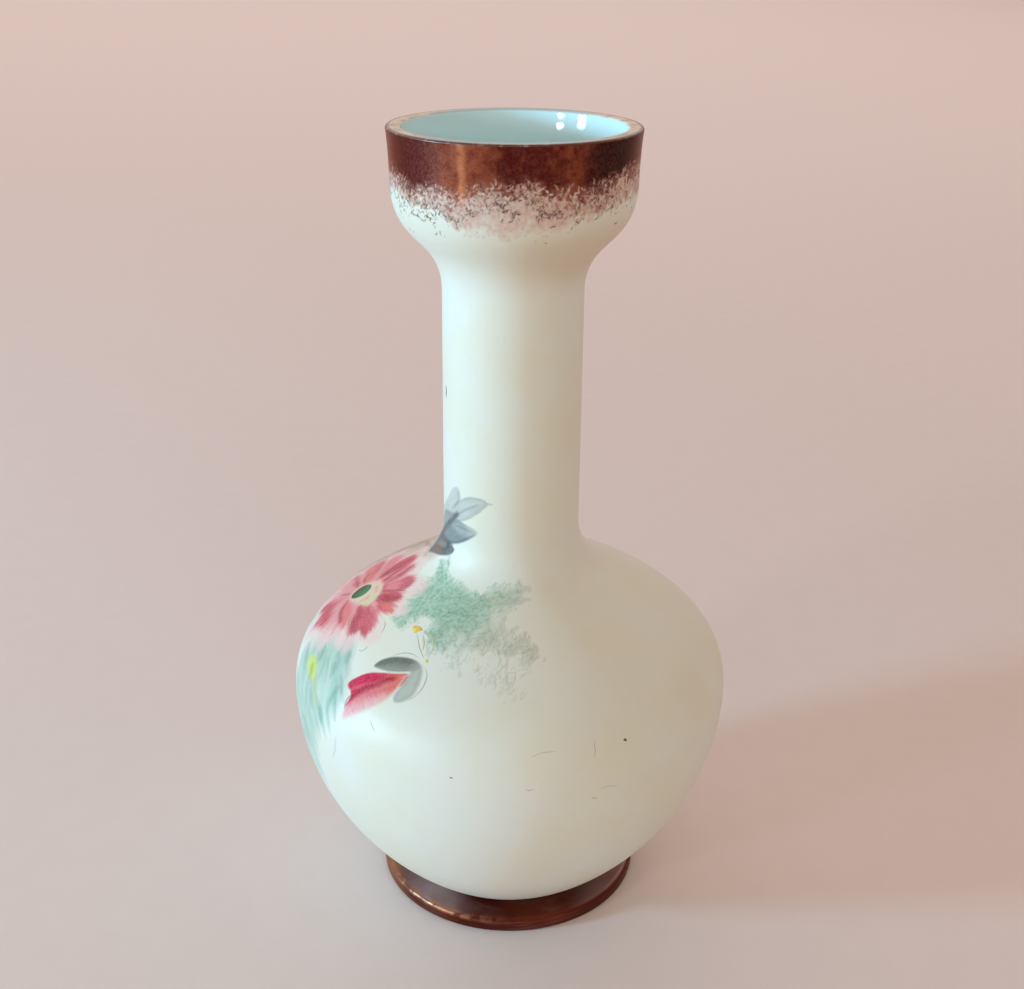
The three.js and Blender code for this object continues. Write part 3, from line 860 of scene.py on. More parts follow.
def ring_grain(turn, climb, cell, seed):
    """Smooth random values that close up round the axis, in cells of some millimetres at the lip."""
    cells = round(LIP_TURN / cell)
    return grain(turn / 360 * cells, climb / cell, seed, cells)


def by_turn(turn, table, away):
    """A value given across the seen front, which settles to one value round the back."""
    spots = sorted(table)
    seen = smooth(100, 76, np.abs(turn))
    return np.interp(turn, spots, [table[s] for s in spots]) * seen + away * (1 - seen)


def over_edge(x, y):
    """Turn and climb of places round the lip, slow random values, and height over the band's lower edge."""
    turn, climb = np.degrees(x / RIM_RADIUS), y + LIP
    slow = ring_grain(turn, climb, 4.1, 61)
    return turn, climb, slow, y + BAND_DEPTH + by_turn(turn, BAND_DEPTH_AT, 2.4 * (slow - 0.5))


def paint_band(coats, x, y):
    """Copper-brown lustre sponged round the lip, ragged below, over a paler wash; painted light and shade."""
    turn, climb, slow, band = over_edge(x, y)
    soft, fine, sharp = (ring_grain(turn, climb, cell, 62) for cell in (1.7, 0.75, 0.38))
    reach = by_turn(turn, WASH_REACH_AT, 4 + 9 * slow)
    wash = smooth(-reach, -reach * 0.5, band + 2.6 * (soft - 0.5) + 1.6 * (fine - 0.5))
    wash = wash * smooth(0.9, 2.6, reach)
    pink = (0.3 * smooth(-6, -1, band + 2 * (fine - 0.5)))[:, None]
    coats.lay(wash * (0.55 + 0.4 * fine * (0.6 + 0.8 * sharp)), mixed(LUSTRE_WASH, LUSTRE_HAZE, pink))
    mottle = 0.5 * (soft - 0.5) + 0.32 * (fine - 0.5) + 0.12 * (sharp - 0.5)
    brown = by_turn(turn, BROWN_AT, 0.15 + 0.5 * slow) + by_turn(turn, MOTTLE_AT, 1.0) * mottle
    brown = smooth(0.05, 0.85, brown)[:, None]
    # painted shade and painted reflection, by turn
    shade = by_turn(turn, PAINTED_SHADE_AND_REFLECTION_AT, 0.8)[:, None]
    thin = (smooth(4.6, -0.6, band + 3 * (fine - 0.5) + 2 * (sharp - 0.5)) * 0.7)[:, None]
    metal = mixed(mixed(LUSTRE_DARK, LUSTRE_BROWN, brown) * shade, LUSTRE_HAZE, thin)
    ragged = band + 3.0 * (soft - 0.5) + 3.0 * (fine - 0.5) + 3.0 * (sharp - 0.5)
    coats.lay(smooth(-0.8, 0.9, ragged) * (1 - 0.25 * thin[:, 0]), metal, metal=BAND_METAL)
    # Painted highlight: a vertical light streak on the band at one turn
    painted_highlight = smooth(2.8, 0.3, np.abs(turn - PAINTED_HIGHLIGHT_TURN + 1.2 * (soft - 0.5)))
    painted_highlight = painted_highlight * smooth(-2.5, 1.0, band) * (0.5 + 0.5 * soft)
    coats.lay(0.7 * painted_highlight, LUSTRE_PAINTED_HIGHLIGHT, metal=BAND_METAL)
    fleck_band(coats, x, y)


def fleck_band(coats, x, y):
    """Light and dark flecks along the lower edge of the band, crowded in clumps."""
    random = np.random.default_rng(FLECK_SEED)
    half = LIP_TURN / 2 - 1
    across, up = random.uniform(-half, half, FLECKS), random.uniform(-BAND_REACH, -6, FLECKS)
    turn, climb, _, above = over_edge(across, up)
    clump = ring_grain(turn, climb, 2.2, 64)
    dense = smooth(-7.5, -0.5, above) * smooth(4.4, 1.4, above) * smooth(0.15, 0.6, clump)
    sparse = 0.1 * smooth(-13, -6, above) * smooth(3, 1, above) * smooth(0.5, 0.75, clump)
    kept = random.random(FLECKS) < np.maximum(dense, sparse)
    places, above = np.stack([across, up], axis=-1)[kept], above[kept]
    count = len(places)
    lean = ring_grain(turn[kept], climb[kept], 1.5, 65) * 9
    draw = random.random(count)
    light = draw < 0.12 + 0.36 * smooth(-2.5, 1.5, above)
    dark = draw > 0.76 - 0.4 * smooth(-0.5, -4.5, above)
    tones = np.where(dark[:, None], FLECK, LUSTRE_HAZE * 0.8)
    tones = np.where(light[:, None], LUSTRE_WASH * 1.25, tones)
    size = random.random(count) ** 2.2
    angles = lean + random.normal(0, 0.8, count)
    strengths = np.where(light, 0.55, np.where(dark, random.uniform(0.5, 0.95, count), 0.4))
    touches(coats, x, y, zip(places, angles, 0.25 + 1.2 * size, 0.2 + 0.3 * size, tones, strengths))


# Meshes. The rows of an outline are about these millimetres apart.

SPACING = {"seat": 4.0, "outside": 1.2, "lip": 0.7, "inside": 2.8, "floor": 3.0}
FOOT_SPACING = {"arch": 2.0, "ring": 1.6, "side": 0.6, "top": 0.8}


def body_outline():
    """Closed outline of the body, as rows of (radius, height), and the part of the glass that each row is."""
    inside, floor = inside_wall()
    seat = walked([(0.0, FOOT_TOP), (BASE_RADIUS, FOOT_TOP)], SPACING["seat"])
    outside = walked(OUTSIDE, SPACING["outside"])
    outer_centre = (RIM_RADIUS - RIM_OUTER_ROUND, RIM_HEIGHT - RIM_OUTER_ROUND)
    outer_round = arc(outer_centre, RIM_OUTER_ROUND, 0, 90, OUTER_ROUND_STEPS)
    inner_centre = (inside[0][0] + RIM_INNER_ROUND, RIM_HEIGHT - RIM_INNER_ROUND)
    inner_round = arc(inner_centre, RIM_INNER_ROUND, 90, 180, INNER_ROUND_STEPS)
    flat = walked([outer_round[-1], inner_round[0]], SPACING["lip"])
    half = INNER_ROUND_STEPS // 2
    lip_inside = inside[inside[:, 1] > RIM_HEIGHT - LIP_FLARE_HEIGHT]
    below = inside[len(lip_inside) - 1:]
    lines = [
        (seat, "seat"),
        (outside, "outside"),
        (outer_round, "gilt"),
        (flat, "ground"),
        (inner_round[:half + 1], "ground"),
        (inner_round[half:], "inside"),
        (walked(lip_inside, SPACING["lip"]), "inside"),
        (walked(below, SPACING["inside"]), "inside"),
        (walked(floor, SPACING["floor"]), "inside"),
    ]
    rows = joined(*[line for line, _ in lines])
    parts = np.array([part for k, (line, part) in enumerate(lines) for _ in line[1 if k else 0:]])
    parts[np.flatnonzero(parts == "outside")[-1]] = "gilt"
    return rows, parts


def foot_outline():
    """Closed outline of the foot, from the middle of its underside to the middle of its seat."""
    ring = FOOT_RADIUS - FOOT_HEEL_ROUND - RESTING_RING_WIDTH
    haunch = (ring * ARCH_REACH, KICK_UP * ARCH_RISE)
    under = bezier((0, KICK_UP), (ring / 2, KICK_UP), haunch, (ring, 0), steps=ARCH_STEPS)
    heel = arc((FOOT_RADIUS - FOOT_HEEL_ROUND, FOOT_HEEL_ROUND), FOOT_HEEL_ROUND, -90, 0, HEEL_STEPS)
    edge_radius = FOOT_RADIUS - FOOT_EDGE_ROUND
    fall = math.degrees(math.atan2(FOOT_TOP - FOOT_EDGE_HEIGHT, edge_radius - SEAT_RADIUS))
    edge_centre = (edge_radius, FOOT_EDGE_HEIGHT - FOOT_EDGE_ROUND)
    edge = arc(edge_centre, FOOT_EDGE_ROUND, 0, 90 - fall, EDGE_STEPS)
    seat = np.array([edge[-1], (SEAT_RADIUS, FOOT_TOP), (0.0, FOOT_TOP)])
    return joined(
        walked(under, FOOT_SPACING["arch"]),
        walked([under[-1], heel[0]], FOOT_SPACING["ring"]),
        heel,
        walked([heel[-1], edge[0]], FOOT_SPACING["side"]),
        edge,
        walked(seat[:2], FOOT_SPACING["top"]),
        walked(seat[1:], SPACING["seat"]),
    )


def new_object(name, vertices, faces):
    """A smooth mesh in the scene, from points in millimetres."""
    mesh = bpy.data.meshes.new(name)
    mesh.from_pydata((np.asarray(vertices) * MM).tolist(), [], faces)
    mesh.validate()
    mesh.shade_smooth()
    piece = bpy.data.objects.new(name, mesh)
    bpy.context.scene.collection.objects.link(piece)
    return piece


def turned(name, rows):
    """A closed outline turned round the axis, with a flat map of its skin: round it and along the outline."""
    angle = FULL_TURN * np.arange(AROUND) / AROUND
    ring = np.stack([np.sin(angle), -np.cos(angle)], axis=-1)
    inner = rows[1:-1]
    across, height = inner[:, None, :1] * ring[None], np.repeat(inner[:, None, 1:], AROUND, axis=1)
    body = np.concatenate([across, height], axis=-1).reshape(-1, 3)
    vertices = np.concatenate([body, [(0, 0, rows[0][1]), (0, 0, rows[-1][1])]])
    last = len(inner) - 1
    k = np.arange(AROUND)
    sides = list(zip(k.tolist(), ((k + 1) % AROUND).tolist()))
    rings = range(0, last * AROUND, AROUND)
    faces = [(r + a, r + b, r + AROUND + b, r + AROUND + a) for r in rings for a, b in sides]
    faces += [(len(body), b, a) for a, b in sides]
    faces += [(last * AROUND + a, last * AROUND + b, len(body) + 1) for a, b in sides]
    piece = new_object(name, vertices, faces)

    along = lengths(rows) / lengths(rows)[-1]
    flat = piece.data.uv_layers.new(name="OFBake")
    uv = np.empty((len(piece.data.loops), 2))
    at = 0
    for r in range(last):
        low, high = along[r + 1], along[r + 2]
        block = np.stack([k, k + 1, k + 1, k], axis=-1) / AROUND
        uv[at:at + 4 * AROUND, 0] = block.ravel()
        uv[at:at + 4 * AROUND, 1] = np.tile([low, low, high, high], AROUND)
        at += 4 * AROUND
    for corners, heights in (
        ((0.5, 1.0, 0.0), (along[0], along[1], along[1])),
        ((0.0, 1.0, 0.5), (along[-2], along[-2], along[-1])),
    ):
        uv[at:at + 3 * AROUND, 0] = ((k[:, None] + np.array(corners)) / AROUND).ravel()
        uv[at:at + 3 * AROUND, 1] = np.tile(heights, AROUND)
        at += 3 * AROUND
    flat.data.foreach_set("uv", uv.astype(np.float32).ravel())
    return piece


def give(piece, name, values):
    """A value or a colour at each point of a mesh, for the material to read."""
    values = np.asarray(values, np.float32)
    kind, field = ("FLOAT", "value") if values.ndim == 1 else ("FLOAT_COLOR", "color")
    layer = piece.data.attributes.new(name, kind, "POINT")
    layer.data.foreach_set(field, values.ravel())


GLASS_MARKS = ("inside", "ground", "gilt")


def glass_body():
    """The blown body, with marks for its inside, its ground lip and its gilt line."""
    rows, parts = body_outline()
    piece = turned("glass_body", rows)
    part = np.concatenate([np.repeat(parts[1:-1], AROUND), [parts[0], parts[-1]]])
    for name in GLASS_MARKS:
        give(piece, name, (part == name).astype(float))
    return piece


FILM_LIFT, FILM_SINK = 0.05, 0.03  # how far a film stands over the glass, and how deep its bare edge goes
BARE = 0.02  # cover below which there is no film
OWNED = 0.12  # cover from which a place belongs to the skin painted on it last
FULL_FILM = 0.3  # cover from which a film has its whole thickness


def films(skins, turns, climbs, cell, radius, lift=FILM_LIFT):
    """Coats of enamel as thin raised skins that dip into the glass where the paint ends.

    A skin is a name, a function from points to places on the painter's sheet, the box it is painted in and
    the painter. All of them share one grid of points, and each cell belongs to the skin painted on it last.
    """
    wide = round(math.radians(turns[1] - turns[0]) * radius / cell) + 1
    columns = np.linspace(*turns, wide)
    lines = np.linspace(*climbs, round((climbs[1] - climbs[0]) / cell) + 1)
    turn, climb = [a.ravel() for a in np.meshgrid(columns, lines)]
    points = on_glass(turn, climb)
    coats = Coats(len(points))
    owner = np.zeros(len(points), int)
    for k, (_, place, box, paint) in enumerate(skins):
        u, v = place(points)
        at = around(u, v, box, 0.0)
        sheet = Coats(len(at))
        paint(sheet, u[at], v[at])
        coats.lay(sheet.cover, sheet.colour, at, sheet.metal)
        owner[at[sheet.cover > OWNED]] = k
    height = -FILM_SINK + (lift + FILM_SINK) * smooth(0, FULL_FILM, coats.cover)
    vertices = on_glass(turn, climb, height)
    corner = (np.arange(len(lines) - 1)[:, None] * wide + np.arange(wide - 1)[None]).ravel()
    quads = np.stack([corner, corner + 1, corner + 1 + wide, corner + wide], axis=-1)
    quads = quads[(coats.cover[quads] > BARE).any(axis=1)]
    mine = owner[quads].max(axis=1)
    flat = np.stack([(a - a.min()) / (a.max() - a.min()) for a in (turn, climb)], axis=-1)
    pieces = []
    for k, (name, *_) in enumerate(skins):
        used, faces = np.unique(quads[mine == k], return_inverse=True)
        faces = faces.reshape(-1, 4)
        piece = new_object(name, vertices[used], faces.tolist())
        skin = piece.data.uv_layers.new(name="OFBake")
        skin.data.foreach_set("uv", flat[used][faces.ravel()].astype(np.float32).ravel())
        give(piece, "paint", np.concatenate([coats.colour[used], coats.cover[used, None]], axis=-1))
        give(piece, "metal", coats.metal[used])
        pieces.append(piece)
    return pieces


BEAD_SIDES, BEAD_SPACING = 8, 0.35
WEAR_HEIGHT = 0.03


def ribbons(name, lines):
    """Raised lines of enamel: each a low rounded bead, pointed at its ends, half sunk in the glass."""
    angle = FULL_TURN * np.arange(BEAD_SIDES) / BEAD_SIDES
    vertices, faces, colours = [], [], []
    for panel, points, width, height, colour in lines:
        path = walked(through(points), BEAD_SPACING)
        mid = panel.onto_glass(path)
        out = panel.onto_glass(path, 1.0) - mid
        ahead = np.gradient(mid, axis=0)
        ahead /= np.linalg.norm(ahead, axis=1)[:, None]
        side = np.cross(ahead, out)
        place = np.linspace(0, 1, len(path))
        swell = np.clip(np.sin(math.pi * (0.06 + 0.88 * place)), 0.05, 1)[:, None, None] ** 0.7
        across = np.cos(angle)[None, :, None] * side[:, None] * width / 2
        above = np.sin(angle)[None, :, None] * out[:, None] * height
        start = sum(len(v) for v in vertices)
        vertices.append((mid[:, None] + (across + above) * swell).reshape(-1, 3))
        for r in range(len(path) - 1):
            for k in range(BEAD_SIDES):
                a, b = start + r * BEAD_SIDES + k, start + r * BEAD_SIDES + (k + 1) % BEAD_SIDES
                faces.append((a, b, b + BEAD_SIDES, a + BEAD_SIDES))
        end = start + (len(path) - 1) * BEAD_SIDES
        faces += [tuple(range(start, start + BEAD_SIDES))[::-1], tuple(range(end, end + BEAD_SIDES))]
        colours.append(np.tile([*colour, 1.0], (len(path) * BEAD_SIDES, 1)))
    piece = new_object(name, np.concatenate(vertices), faces)
    give(piece, "paint", np.concatenate(colours))
    return piece


PEN_ROSE = paint_colour(134, 70, 74)
PEN_GREY = paint_colour(150, 146, 140)
PEN_OLIVE = paint_colour(196, 192, 124)
PEN_FAINT = enamel(168, 170, 128)
YELLOW = paint_colour(236, 190, 40)
SOOT = paint_colour(66, 50, 42)
FAINT_DIRT = paint_colour(152, 144, 128)

FLOWER_PEN = [
    [(0.5, 8.6), (-0.3, 11), (-0.9, 13.6), (-2.2, 15.2)],
    [(1.3, 17.8), (2.3, 16.2), (2.7, 13.4)],
    [(-4.9, 5.6), (-4.2, 8.2), (-3.2, 9.2), (-5, 12.4), (-6.4, 13.8)],
    [(-11.5, -0.6), (-9, 0.4), (-7.6, -0.4), (-6.4, -1.6)],
    [(8, -1.6), (11, -3.4), (15, -4.6), (18.4, -4.4)],
    [(0.8, -6), (4.2, -7.5), (8.4, -7.8), (12.4, -6.9)],
]
GREY_PEN = [
    [(19.6, 7), (22.4, 7.2), (24.6, 5.8), (24.8, 4.6)],
    [(25.2, 1.6), (27.4, 0.4), (27.6, -1.2), (26.6, -2)],
    [(14.2, -12.2), (15.8, -13.4), (17, -15)],
    [(11.8, -18), (14.2, -17), (15.6, -15.4), (14.4, -15.9)],
]
BUD_PEN = [
    [(7.2, 10.2), (9.2, 8.2), (10, 5), (9.4, 2), (8.1, 0)],
    [(-4, 9.6), (-1.6, 11.3), (0.8, 12.1), (3.4, 12)],
    [(-0.6, -8.9), (0.8, -9.9), (2.4, -11.2)],
]
STEMS = [
    [(-13.4, -3.6), (-10.6, -4.6), (-8.6, -7), (-8, -9.6), (-8.6, -12.2)],
    [(-12.4, -5.2), (-11.2, -7.6), (-10.8, -9.8)],
]
FINE_STEMS = [
    [(-14.4, -4.9), (-13.2, -7), (-11.9, -9.4), (-9.6, -12.3)],
    [(-12.6, -4.4), (-10.2, -6), (-9.3, -8.6), (-9.4, -11.6)],
    [(-11.6, -4.2), (-8.2, -5.6), (-6.6, -8.4), (-7, -11.4)],
]
PEN_WORK = [  # panel, lines, width, height and colour
    (FLOWER_PANEL, FLOWER_PEN, 0.3, 0.07, PEN_ROSE),
    (FLOWER_PANEL, GREY_PEN, 0.24, 0.05, PEN_GREY),
    (BUD_PANEL, BUD_PEN, 0.22, 0.05, PEN_GREY),
    (MOSS_PANEL, STEMS, 0.5, 0.08, PEN_OLIVE),
    (MOSS_PANEL, FINE_STEMS, 0.26, 0.05, PEN_FAINT),
]


def pen_lines():
    """Thin lines drawn over the painting."""
    return ribbons("pen_lines", [(panel, line, *look) for panel, lines, *look in PEN_WORK for line in lines])


def enamel_dots():
    """Beads of thick yellow enamel, each pulled out by the brush."""
    lines = [
        (MOSS_PANEL, [(-16.6, -2.6), (-15.2, -3.2), (-13.4, -3.4)], 1.9, 0.2, YELLOW),
        (MOSS_PANEL, [(-15.6, -4.2), (-14.6, -4.3)], 1.0, 0.14, LEMON),
        (MOSS_PANEL, [(-8.9, -12.6), (-8.2, -13.6)], 1.2, 0.14, LEMON),
    ]
    return ribbons("enamel_dots", lines)


def wear_marks():
    """Pits and scratches that hold dirt, where the photograph shows them."""
    marks = [
        ((-13.6, 77.1), [(-0.5, 0.1), (0.5, 0)], 0.34, SOOT),
        ((29.7, 84.1), [(-0.5, 0.1), (0, 0.1), (0.4, -0.3)], 0.8, SOOT),
        ((4.9, 74.8), [(-1, 0.1), (-0.2, -0.1), (0.9, 0.2)], 0.18, FAINT_DIRT),
        ((20.8, 69.5), [(-0.9, 0.3), (-0.1, 0), (0.8, -0.1)], 0.2, FAINT_DIRT),
        ((21.3, 84.1), [(0.4, 2.2), (0, 0.6), (-0.1, -1), (-0.5, -2.4)], 0.14, FAINT_DIRT),
        ((8.5, 84.5), [(-3.6, -0.7), (-0.6, 0.3), (3.4, 0.4)], 0.1, FAINT_DIRT),
        ((24, 72), [(-2.6, 0.1), (0.2, 0.4), (3.2, -0.3)], 0.1, FAINT_DIRT),
        ((-69.6, 186.3), [(0, 1.6), (0.3, 0), (0, -1.9)], 0.7, SOOT),
    ]
    lines = [(Panel(*at), line, width, WEAR_HEIGHT, colour) for at, line, width, colour in marks]
    return ribbons("wear_marks", lines)


# Materials


class Shader:
    """Short calls for building one material's nodes."""

    def __init__(self, name):
        self.material = bpy.data.materials.new(name)
        self.material.use_nodes = True
        self.tree = self.material.node_tree
        self.surface = self.tree.nodes["Principled BSDF"]

    def fill(self, node, inputs):
        for key, value in inputs.items():
            if isinstance(value, bpy.types.NodeSocket):
                self.tree.links.new(value, node.inputs[key])
            elif isinstance(value, np.ndarray):
                node.inputs[key].default_value = (*value, 1.0)
            else:
                node.inputs[key].default_value = value

    def make(self, kind, inputs, output=0, **settings):
        """Adds a node, fills its inputs and gives one of its outputs."""
        node = self.tree.nodes.new("ShaderNode" + kind)
        for key, value in settings.items():
            setattr(node, key, value)
        self.fill(node, inputs)
        return node.outputs[output]

    def math(self, operation, a, b=0.0):
        return self.make("Math", {0: a, 1: b}, operation=operation)

    def times(self, a, b):
        return self.math("MULTIPLY", a, b)

    def step(self, value, low, high, out_low=0.0, out_high=1.0):
        """A soft step from one value to another, between two values of what it follows."""
        inputs = {"Value": value, "From Min": low, "From Max": high, "To Min": out_low, "To Max": out_high}
        return self.make("MapRange", inputs, interpolation_type="SMOOTHSTEP")

    def mix(self, factor, a, b):
        """One colour going over into another."""
        return self.make("Mix", {0: factor, 6: a, 7: b}, 2, data_type="RGBA")

    def blend(self, factor, a, b):
        """One value going over into another."""
        return self.make("Mix", {0: factor, 2: a, 3: b}, data_type="FLOAT")

    def read(self, name, output="Fac"):
        """What the mesh carries under a name."""
        return self.make("Attribute", {}, output, attribute_name=name)

    def place(self, stretch=(1.0, 1.0, 1.0)):
        """Where the point is on its piece, in metres."""
        return self.make("Mapping", {"Vector": self.make("TexCoord", {}, "Object"), "Scale": stretch})

    def along(self, axis):
        return self.make("SeparateXYZ", {"Vector": self.place()}, axis)

    def noise(self, scale, detail, vector=None, roughness=0.5):
        inputs = {"Scale": scale, "Detail": detail, "Roughness": roughness}
        inputs["Vector"] = self.place() if vector is None else vector
        return self.make("TexNoise", inputs)

    def patches(self, scale, detail, *limits):
        """Noise made into soft patches, from the value where they begin to the value where they are full."""
        return self.step(self.noise(scale, detail), *limits)

    def bump(self, height, distance, strength, over=None):
        inputs = {"Height": height, "Distance": distance, "Strength": strength}
        if over is not None:
            inputs["Normal"] = over
        return self.make("Bump", inputs)

    def finish(self, inputs):
        """Sets the surface's own inputs and hands the material over."""
        self.fill(self.surface, inputs)
        return self.material


OPAL = paint_colour(228, 231, 225)
OPAL_WARM = paint_colour(227, 227, 213)
OPAL_UNDER_CUP_SHADE = paint_colour(218, 206, 184)  # painted shade under the cup on the right, warmer and darker, and in metres where it fades
UNDER_CUP_SHADE_LOW, UNDER_CUP_SHADE_HIGH, UNDER_CUP_SHADE_SIDE = (0.186, 0.198), (0.214, 0.203), (-0.022, 0.012)
OPAL_INSIDE = paint_colour(216, 247, 255)
# Painted light on the ground lip: warm beige at the sides, cool blue at the front and back
GROUND_WARM_PAINTED_LIGHT = paint_colour(240, 226, 214)
GROUND_COOL_PAINTED_LIGHT = paint_colour(188, 212, 224)
GROUND_STAIN = paint_colour(178, 150, 128)
GILT = paint_colour(96, 48, 34)
LUSTRE_GLOSS = 0.25
LUSTRE_EDGE = paint_colour(230, 205, 195)
OLD_DIRT = paint_colour(150, 140, 126)
BRUSH_LIGHT = paint_colour(250, 240, 236)
BEAD_CHALK = paint_colour(236, 232, 214)
PLAIN = np.ones(3)  # no tint


def satin_glass(shader):
    """Colour and roughness of the acid-etched opal glass, with painted shade under the cup on the right."""
    glass = shader.mix(shader.patches(38.0, 3.0, 0.35, 0.7), OPAL, OPAL_WARM)
    # Painted shade: warmer, darker glass under the cup, towards the right
    height = shader.along("Z")
    bowl = shader.times(shader.step(height, *UNDER_CUP_SHADE_LOW), shader.step(height, *UNDER_CUP_SHADE_HIGH))
    bowl = shader.times(bowl, shader.step(shader.along("X"), *UNDER_CUP_SHADE_SIDE))
    glass = shader.mix(bowl, glass, OPAL_UNDER_CUP_SHADE)
    glass = shader.mix(shader.patches(900.0, 2.0, 0.62, 0.75, 0.0, 0.05), glass, OLD_DIRT)
    return glass, shader.patches(260.0, 3.0, 0.3, 0.7, 0.38, 0.46)


def satin_bump(shader):
    """The fine etching, over the slow waves of blown glass."""
    etched = shader.bump(shader.noise(2600.0, 2.0), 0.00002, 0.35)
    return shader.bump(shader.noise(24.0, 2.0), 0.0006, 0.25, over=etched)


def body_material():
    """Satin opal outside, glossy and bluer inside, with a ground lip in painted light and a rubbed gilt line.
    """
    shader = Shader("satin_opal_glass")
    colour, roughness = satin_glass(shader)
    inside, ground, gilt = (shader.read(name) for name in GLASS_MARKS)
    colour = shader.mix(inside, colour, OPAL_INSIDE)
    stain = shader.patches(210.0, 3.0, 0.45, 0.62, 0.0, 0.5)
    # Painted light: the ground lip is cool blue at the front and back, warm beige with patches of stain at
    # the sides
    sides = shader.step(shader.math("ABSOLUTE", shader.along("X")), 0.014, 0.028)
    edge = shader.mix(sides, GROUND_COOL_PAINTED_LIGHT, shader.mix(stain, GROUND_WARM_PAINTED_LIGHT, GROUND_STAIN))
    colour = shader.mix(ground, colour, edge)
    rubbed = shader.times(gilt, shader.patches(420.0, 3.0, 0.3, 0.5, 0.75, 1.0))
    roughness = shader.blend(ground, shader.blend(inside, roughness, 0.06), 0.5)
    return shader.finish({
        "Base Color": shader.mix(rubbed, colour, GILT),
        "Roughness": roughness,
        "Normal": satin_bump(shader),
        "Coat Weight": shader.times(gilt, 0.6),
        "Coat Roughness": LUSTRE_GLOSS,
    })


def enamel_material(name, edge_tint):
    """Films: the same glass where the paint fades out, glossier where it is thick, metallic as lustre."""
    shader = Shader(name)
    cover, metal = shader.read("paint", "Alpha"), shader.read("metal")
    brush = shader.patches(1400.0, 2.0, 0.3, 0.7)
    brushed = shader.times(brush, shader.blend(metal, 0.07, 0.02))
    tone = shader.mix(brushed, shader.read("paint", "Color"), BRUSH_LIGHT)
    glass, satin = satin_glass(shader)
    thick = shader.blend(metal, 0.33, shader.step(brush, 0.0, 1.0, 0.24, 0.36))
    film = shader.times(metal, cover)
    return shader.finish({
        "Base Color": shader.mix(cover, glass, tone),
        "Roughness": shader.blend(cover, satin, thick),
        "Metallic": film,
        "Coat Weight": shader.times(film, 0.12),
        "Coat Roughness": LUSTRE_GLOSS,
        "Specular IOR Level": 0.3,
        "Specular Tint": edge_tint,
        "Normal": satin_bump(shader),
    })


def bead_material(name, roughness):
    """Raised lines and dots, with their own colour and an uneven fired gloss."""
    shader = Shader(name)
    brush = shader.noise(1800.0, 2.0)
    chalk = shader.step(brush, 0.35, 0.7, 0.0, 0.25)
    return shader.finish({
        "Base Color": shader.mix(chalk, shader.read("paint", "Color"), BEAD_CHALK),
        "Roughness": shader.step(brush, 0.3, 0.7, roughness, roughness + 0.12),
        "Normal": shader.bump(brush, 0.00004, 0.5),
    })


FOOT_DARK = paint_colour(92, 28, 18)
FOOT_BROWN = paint_colour(134, 66, 44)
FOOT_ROSE = paint_colour(176, 132, 124)
FOOT_PAINTED_REFLECTION = paint_colour(190, 162, 164)
FOOT_RUBBED_LUSTRE_AND_HIGHLIGHT = paint_colour(168, 116, 88)
FOOT_SHADOW = paint_colour(78, 26, 18)
FOOT_TOP_EDGE = (0.0036, 0.0043)  # metres over the table between which the top begins


def foot_material():
    """Copper-brown lustre brushed round the foot and rubbed along its edges; painted light and shade."""
    shader = Shader("copper_lustre")
    round_it = shader.place((1.0, 1.0, 22.0))
    brushed = shader.noise(60.0, 4.0, round_it, roughness=0.6)
    fine = shader.noise(320.0, 3.0, round_it, roughness=0.6)
    tone = shader.mix(shader.patches(36.0, 2.0, 0.35, 0.7), FOOT_DARK, FOOT_BROWN)
    tone = shader.mix(shader.step(brushed, 0.45, 0.75, 0.0, 0.3), tone, FOOT_ROSE)
    side, height = shader.along("X"), shader.along("Z")
    tone = shader.mix(shader.step(side, 0.008, 0.03, 0.0, 0.75), tone, FOOT_SHADOW)

    # Painted reflection of the pale bulb: the top is painted mauve at the left, cloudily, and a little at the
    # right
    top = shader.step(height, *FOOT_TOP_EDGE)
    left = shader.times(shader.step(side, -0.008, -0.02, 0.0, 0.95), top)
    left = shader.times(left, shader.step(side, -0.035, -0.025, 0.1, 1.0))
    left = shader.times(left, shader.patches(70.0, 3.0, 0.3, 0.7, 0.5, 1.0))
    right = shader.times(shader.step(side, 0.016, 0.028, 0.0, 0.45), top)
    tone = shader.mix(shader.math("MAXIMUM", left, right), tone, FOOT_PAINTED_REFLECTION)

    # Its rounded edge at the left, and all the far left, are lighter: rubbed lustre and a painted highlight
    edge = shader.times(shader.step(height, 0.0022, 0.0036), shader.step(height, 0.0044, 0.0041))
    edge = shader.times(edge, shader.step(side, 0.006, -0.022))
    edge = shader.times(edge, shader.patches(420.0, 3.0, 0.4, 0.6))
    edge = shader.math("MAXIMUM", edge, shader.step(side, -0.029, -0.037, 0.0, 0.8))
    tone = shader.mix(edge, tone, FOOT_RUBBED_LUSTRE_AND_HIGHLIGHT)
    etched = shader.bump(shader.noise(900.0, 2.0), 0.00006, 0.6)
    return shader.finish({
        "Base Color": shader.mix(shader.patches(1100.0, 3.0, 0.68, 0.76, 0.0, 0.3), tone, FOOT_ROSE),
        "Metallic": 0.85,
        "Roughness": shader.step(fine, 0.3, 0.7, 0.3, 0.48),
        "Coat Weight": 0.2,
        "Coat Roughness": LUSTRE_GLOSS,
        "Specular Tint": LUSTRE_EDGE,
        "Normal": shader.bump(brushed, 0.0001, 0.35, over=etched),
    })


# Camera, floor and light

CAMERA_PLACE = Vector((0.0, -0.35841, 0.28034))
CAMERA_PITCH = 23.36
CAMERA_ROLL = 0.504
FOCAL_PIXELS, PICTURE_WIDTH = 1346.6, 1024
AXIS_SHIFT_PIXELS = 0.6
SENSOR_WIDTH = 36.0
NEAREST, FARTHEST = 0.01, 20
PAPER = paint_colour(231, 217, 216)
FLOOR_SIZE = 40.0
LIGHT_AIM = Vector((0, 0, 0.12))

# A light is its name, turn, height over the horizon in degrees, distance, size, power and colour, and
# whether the glass mirrors it.

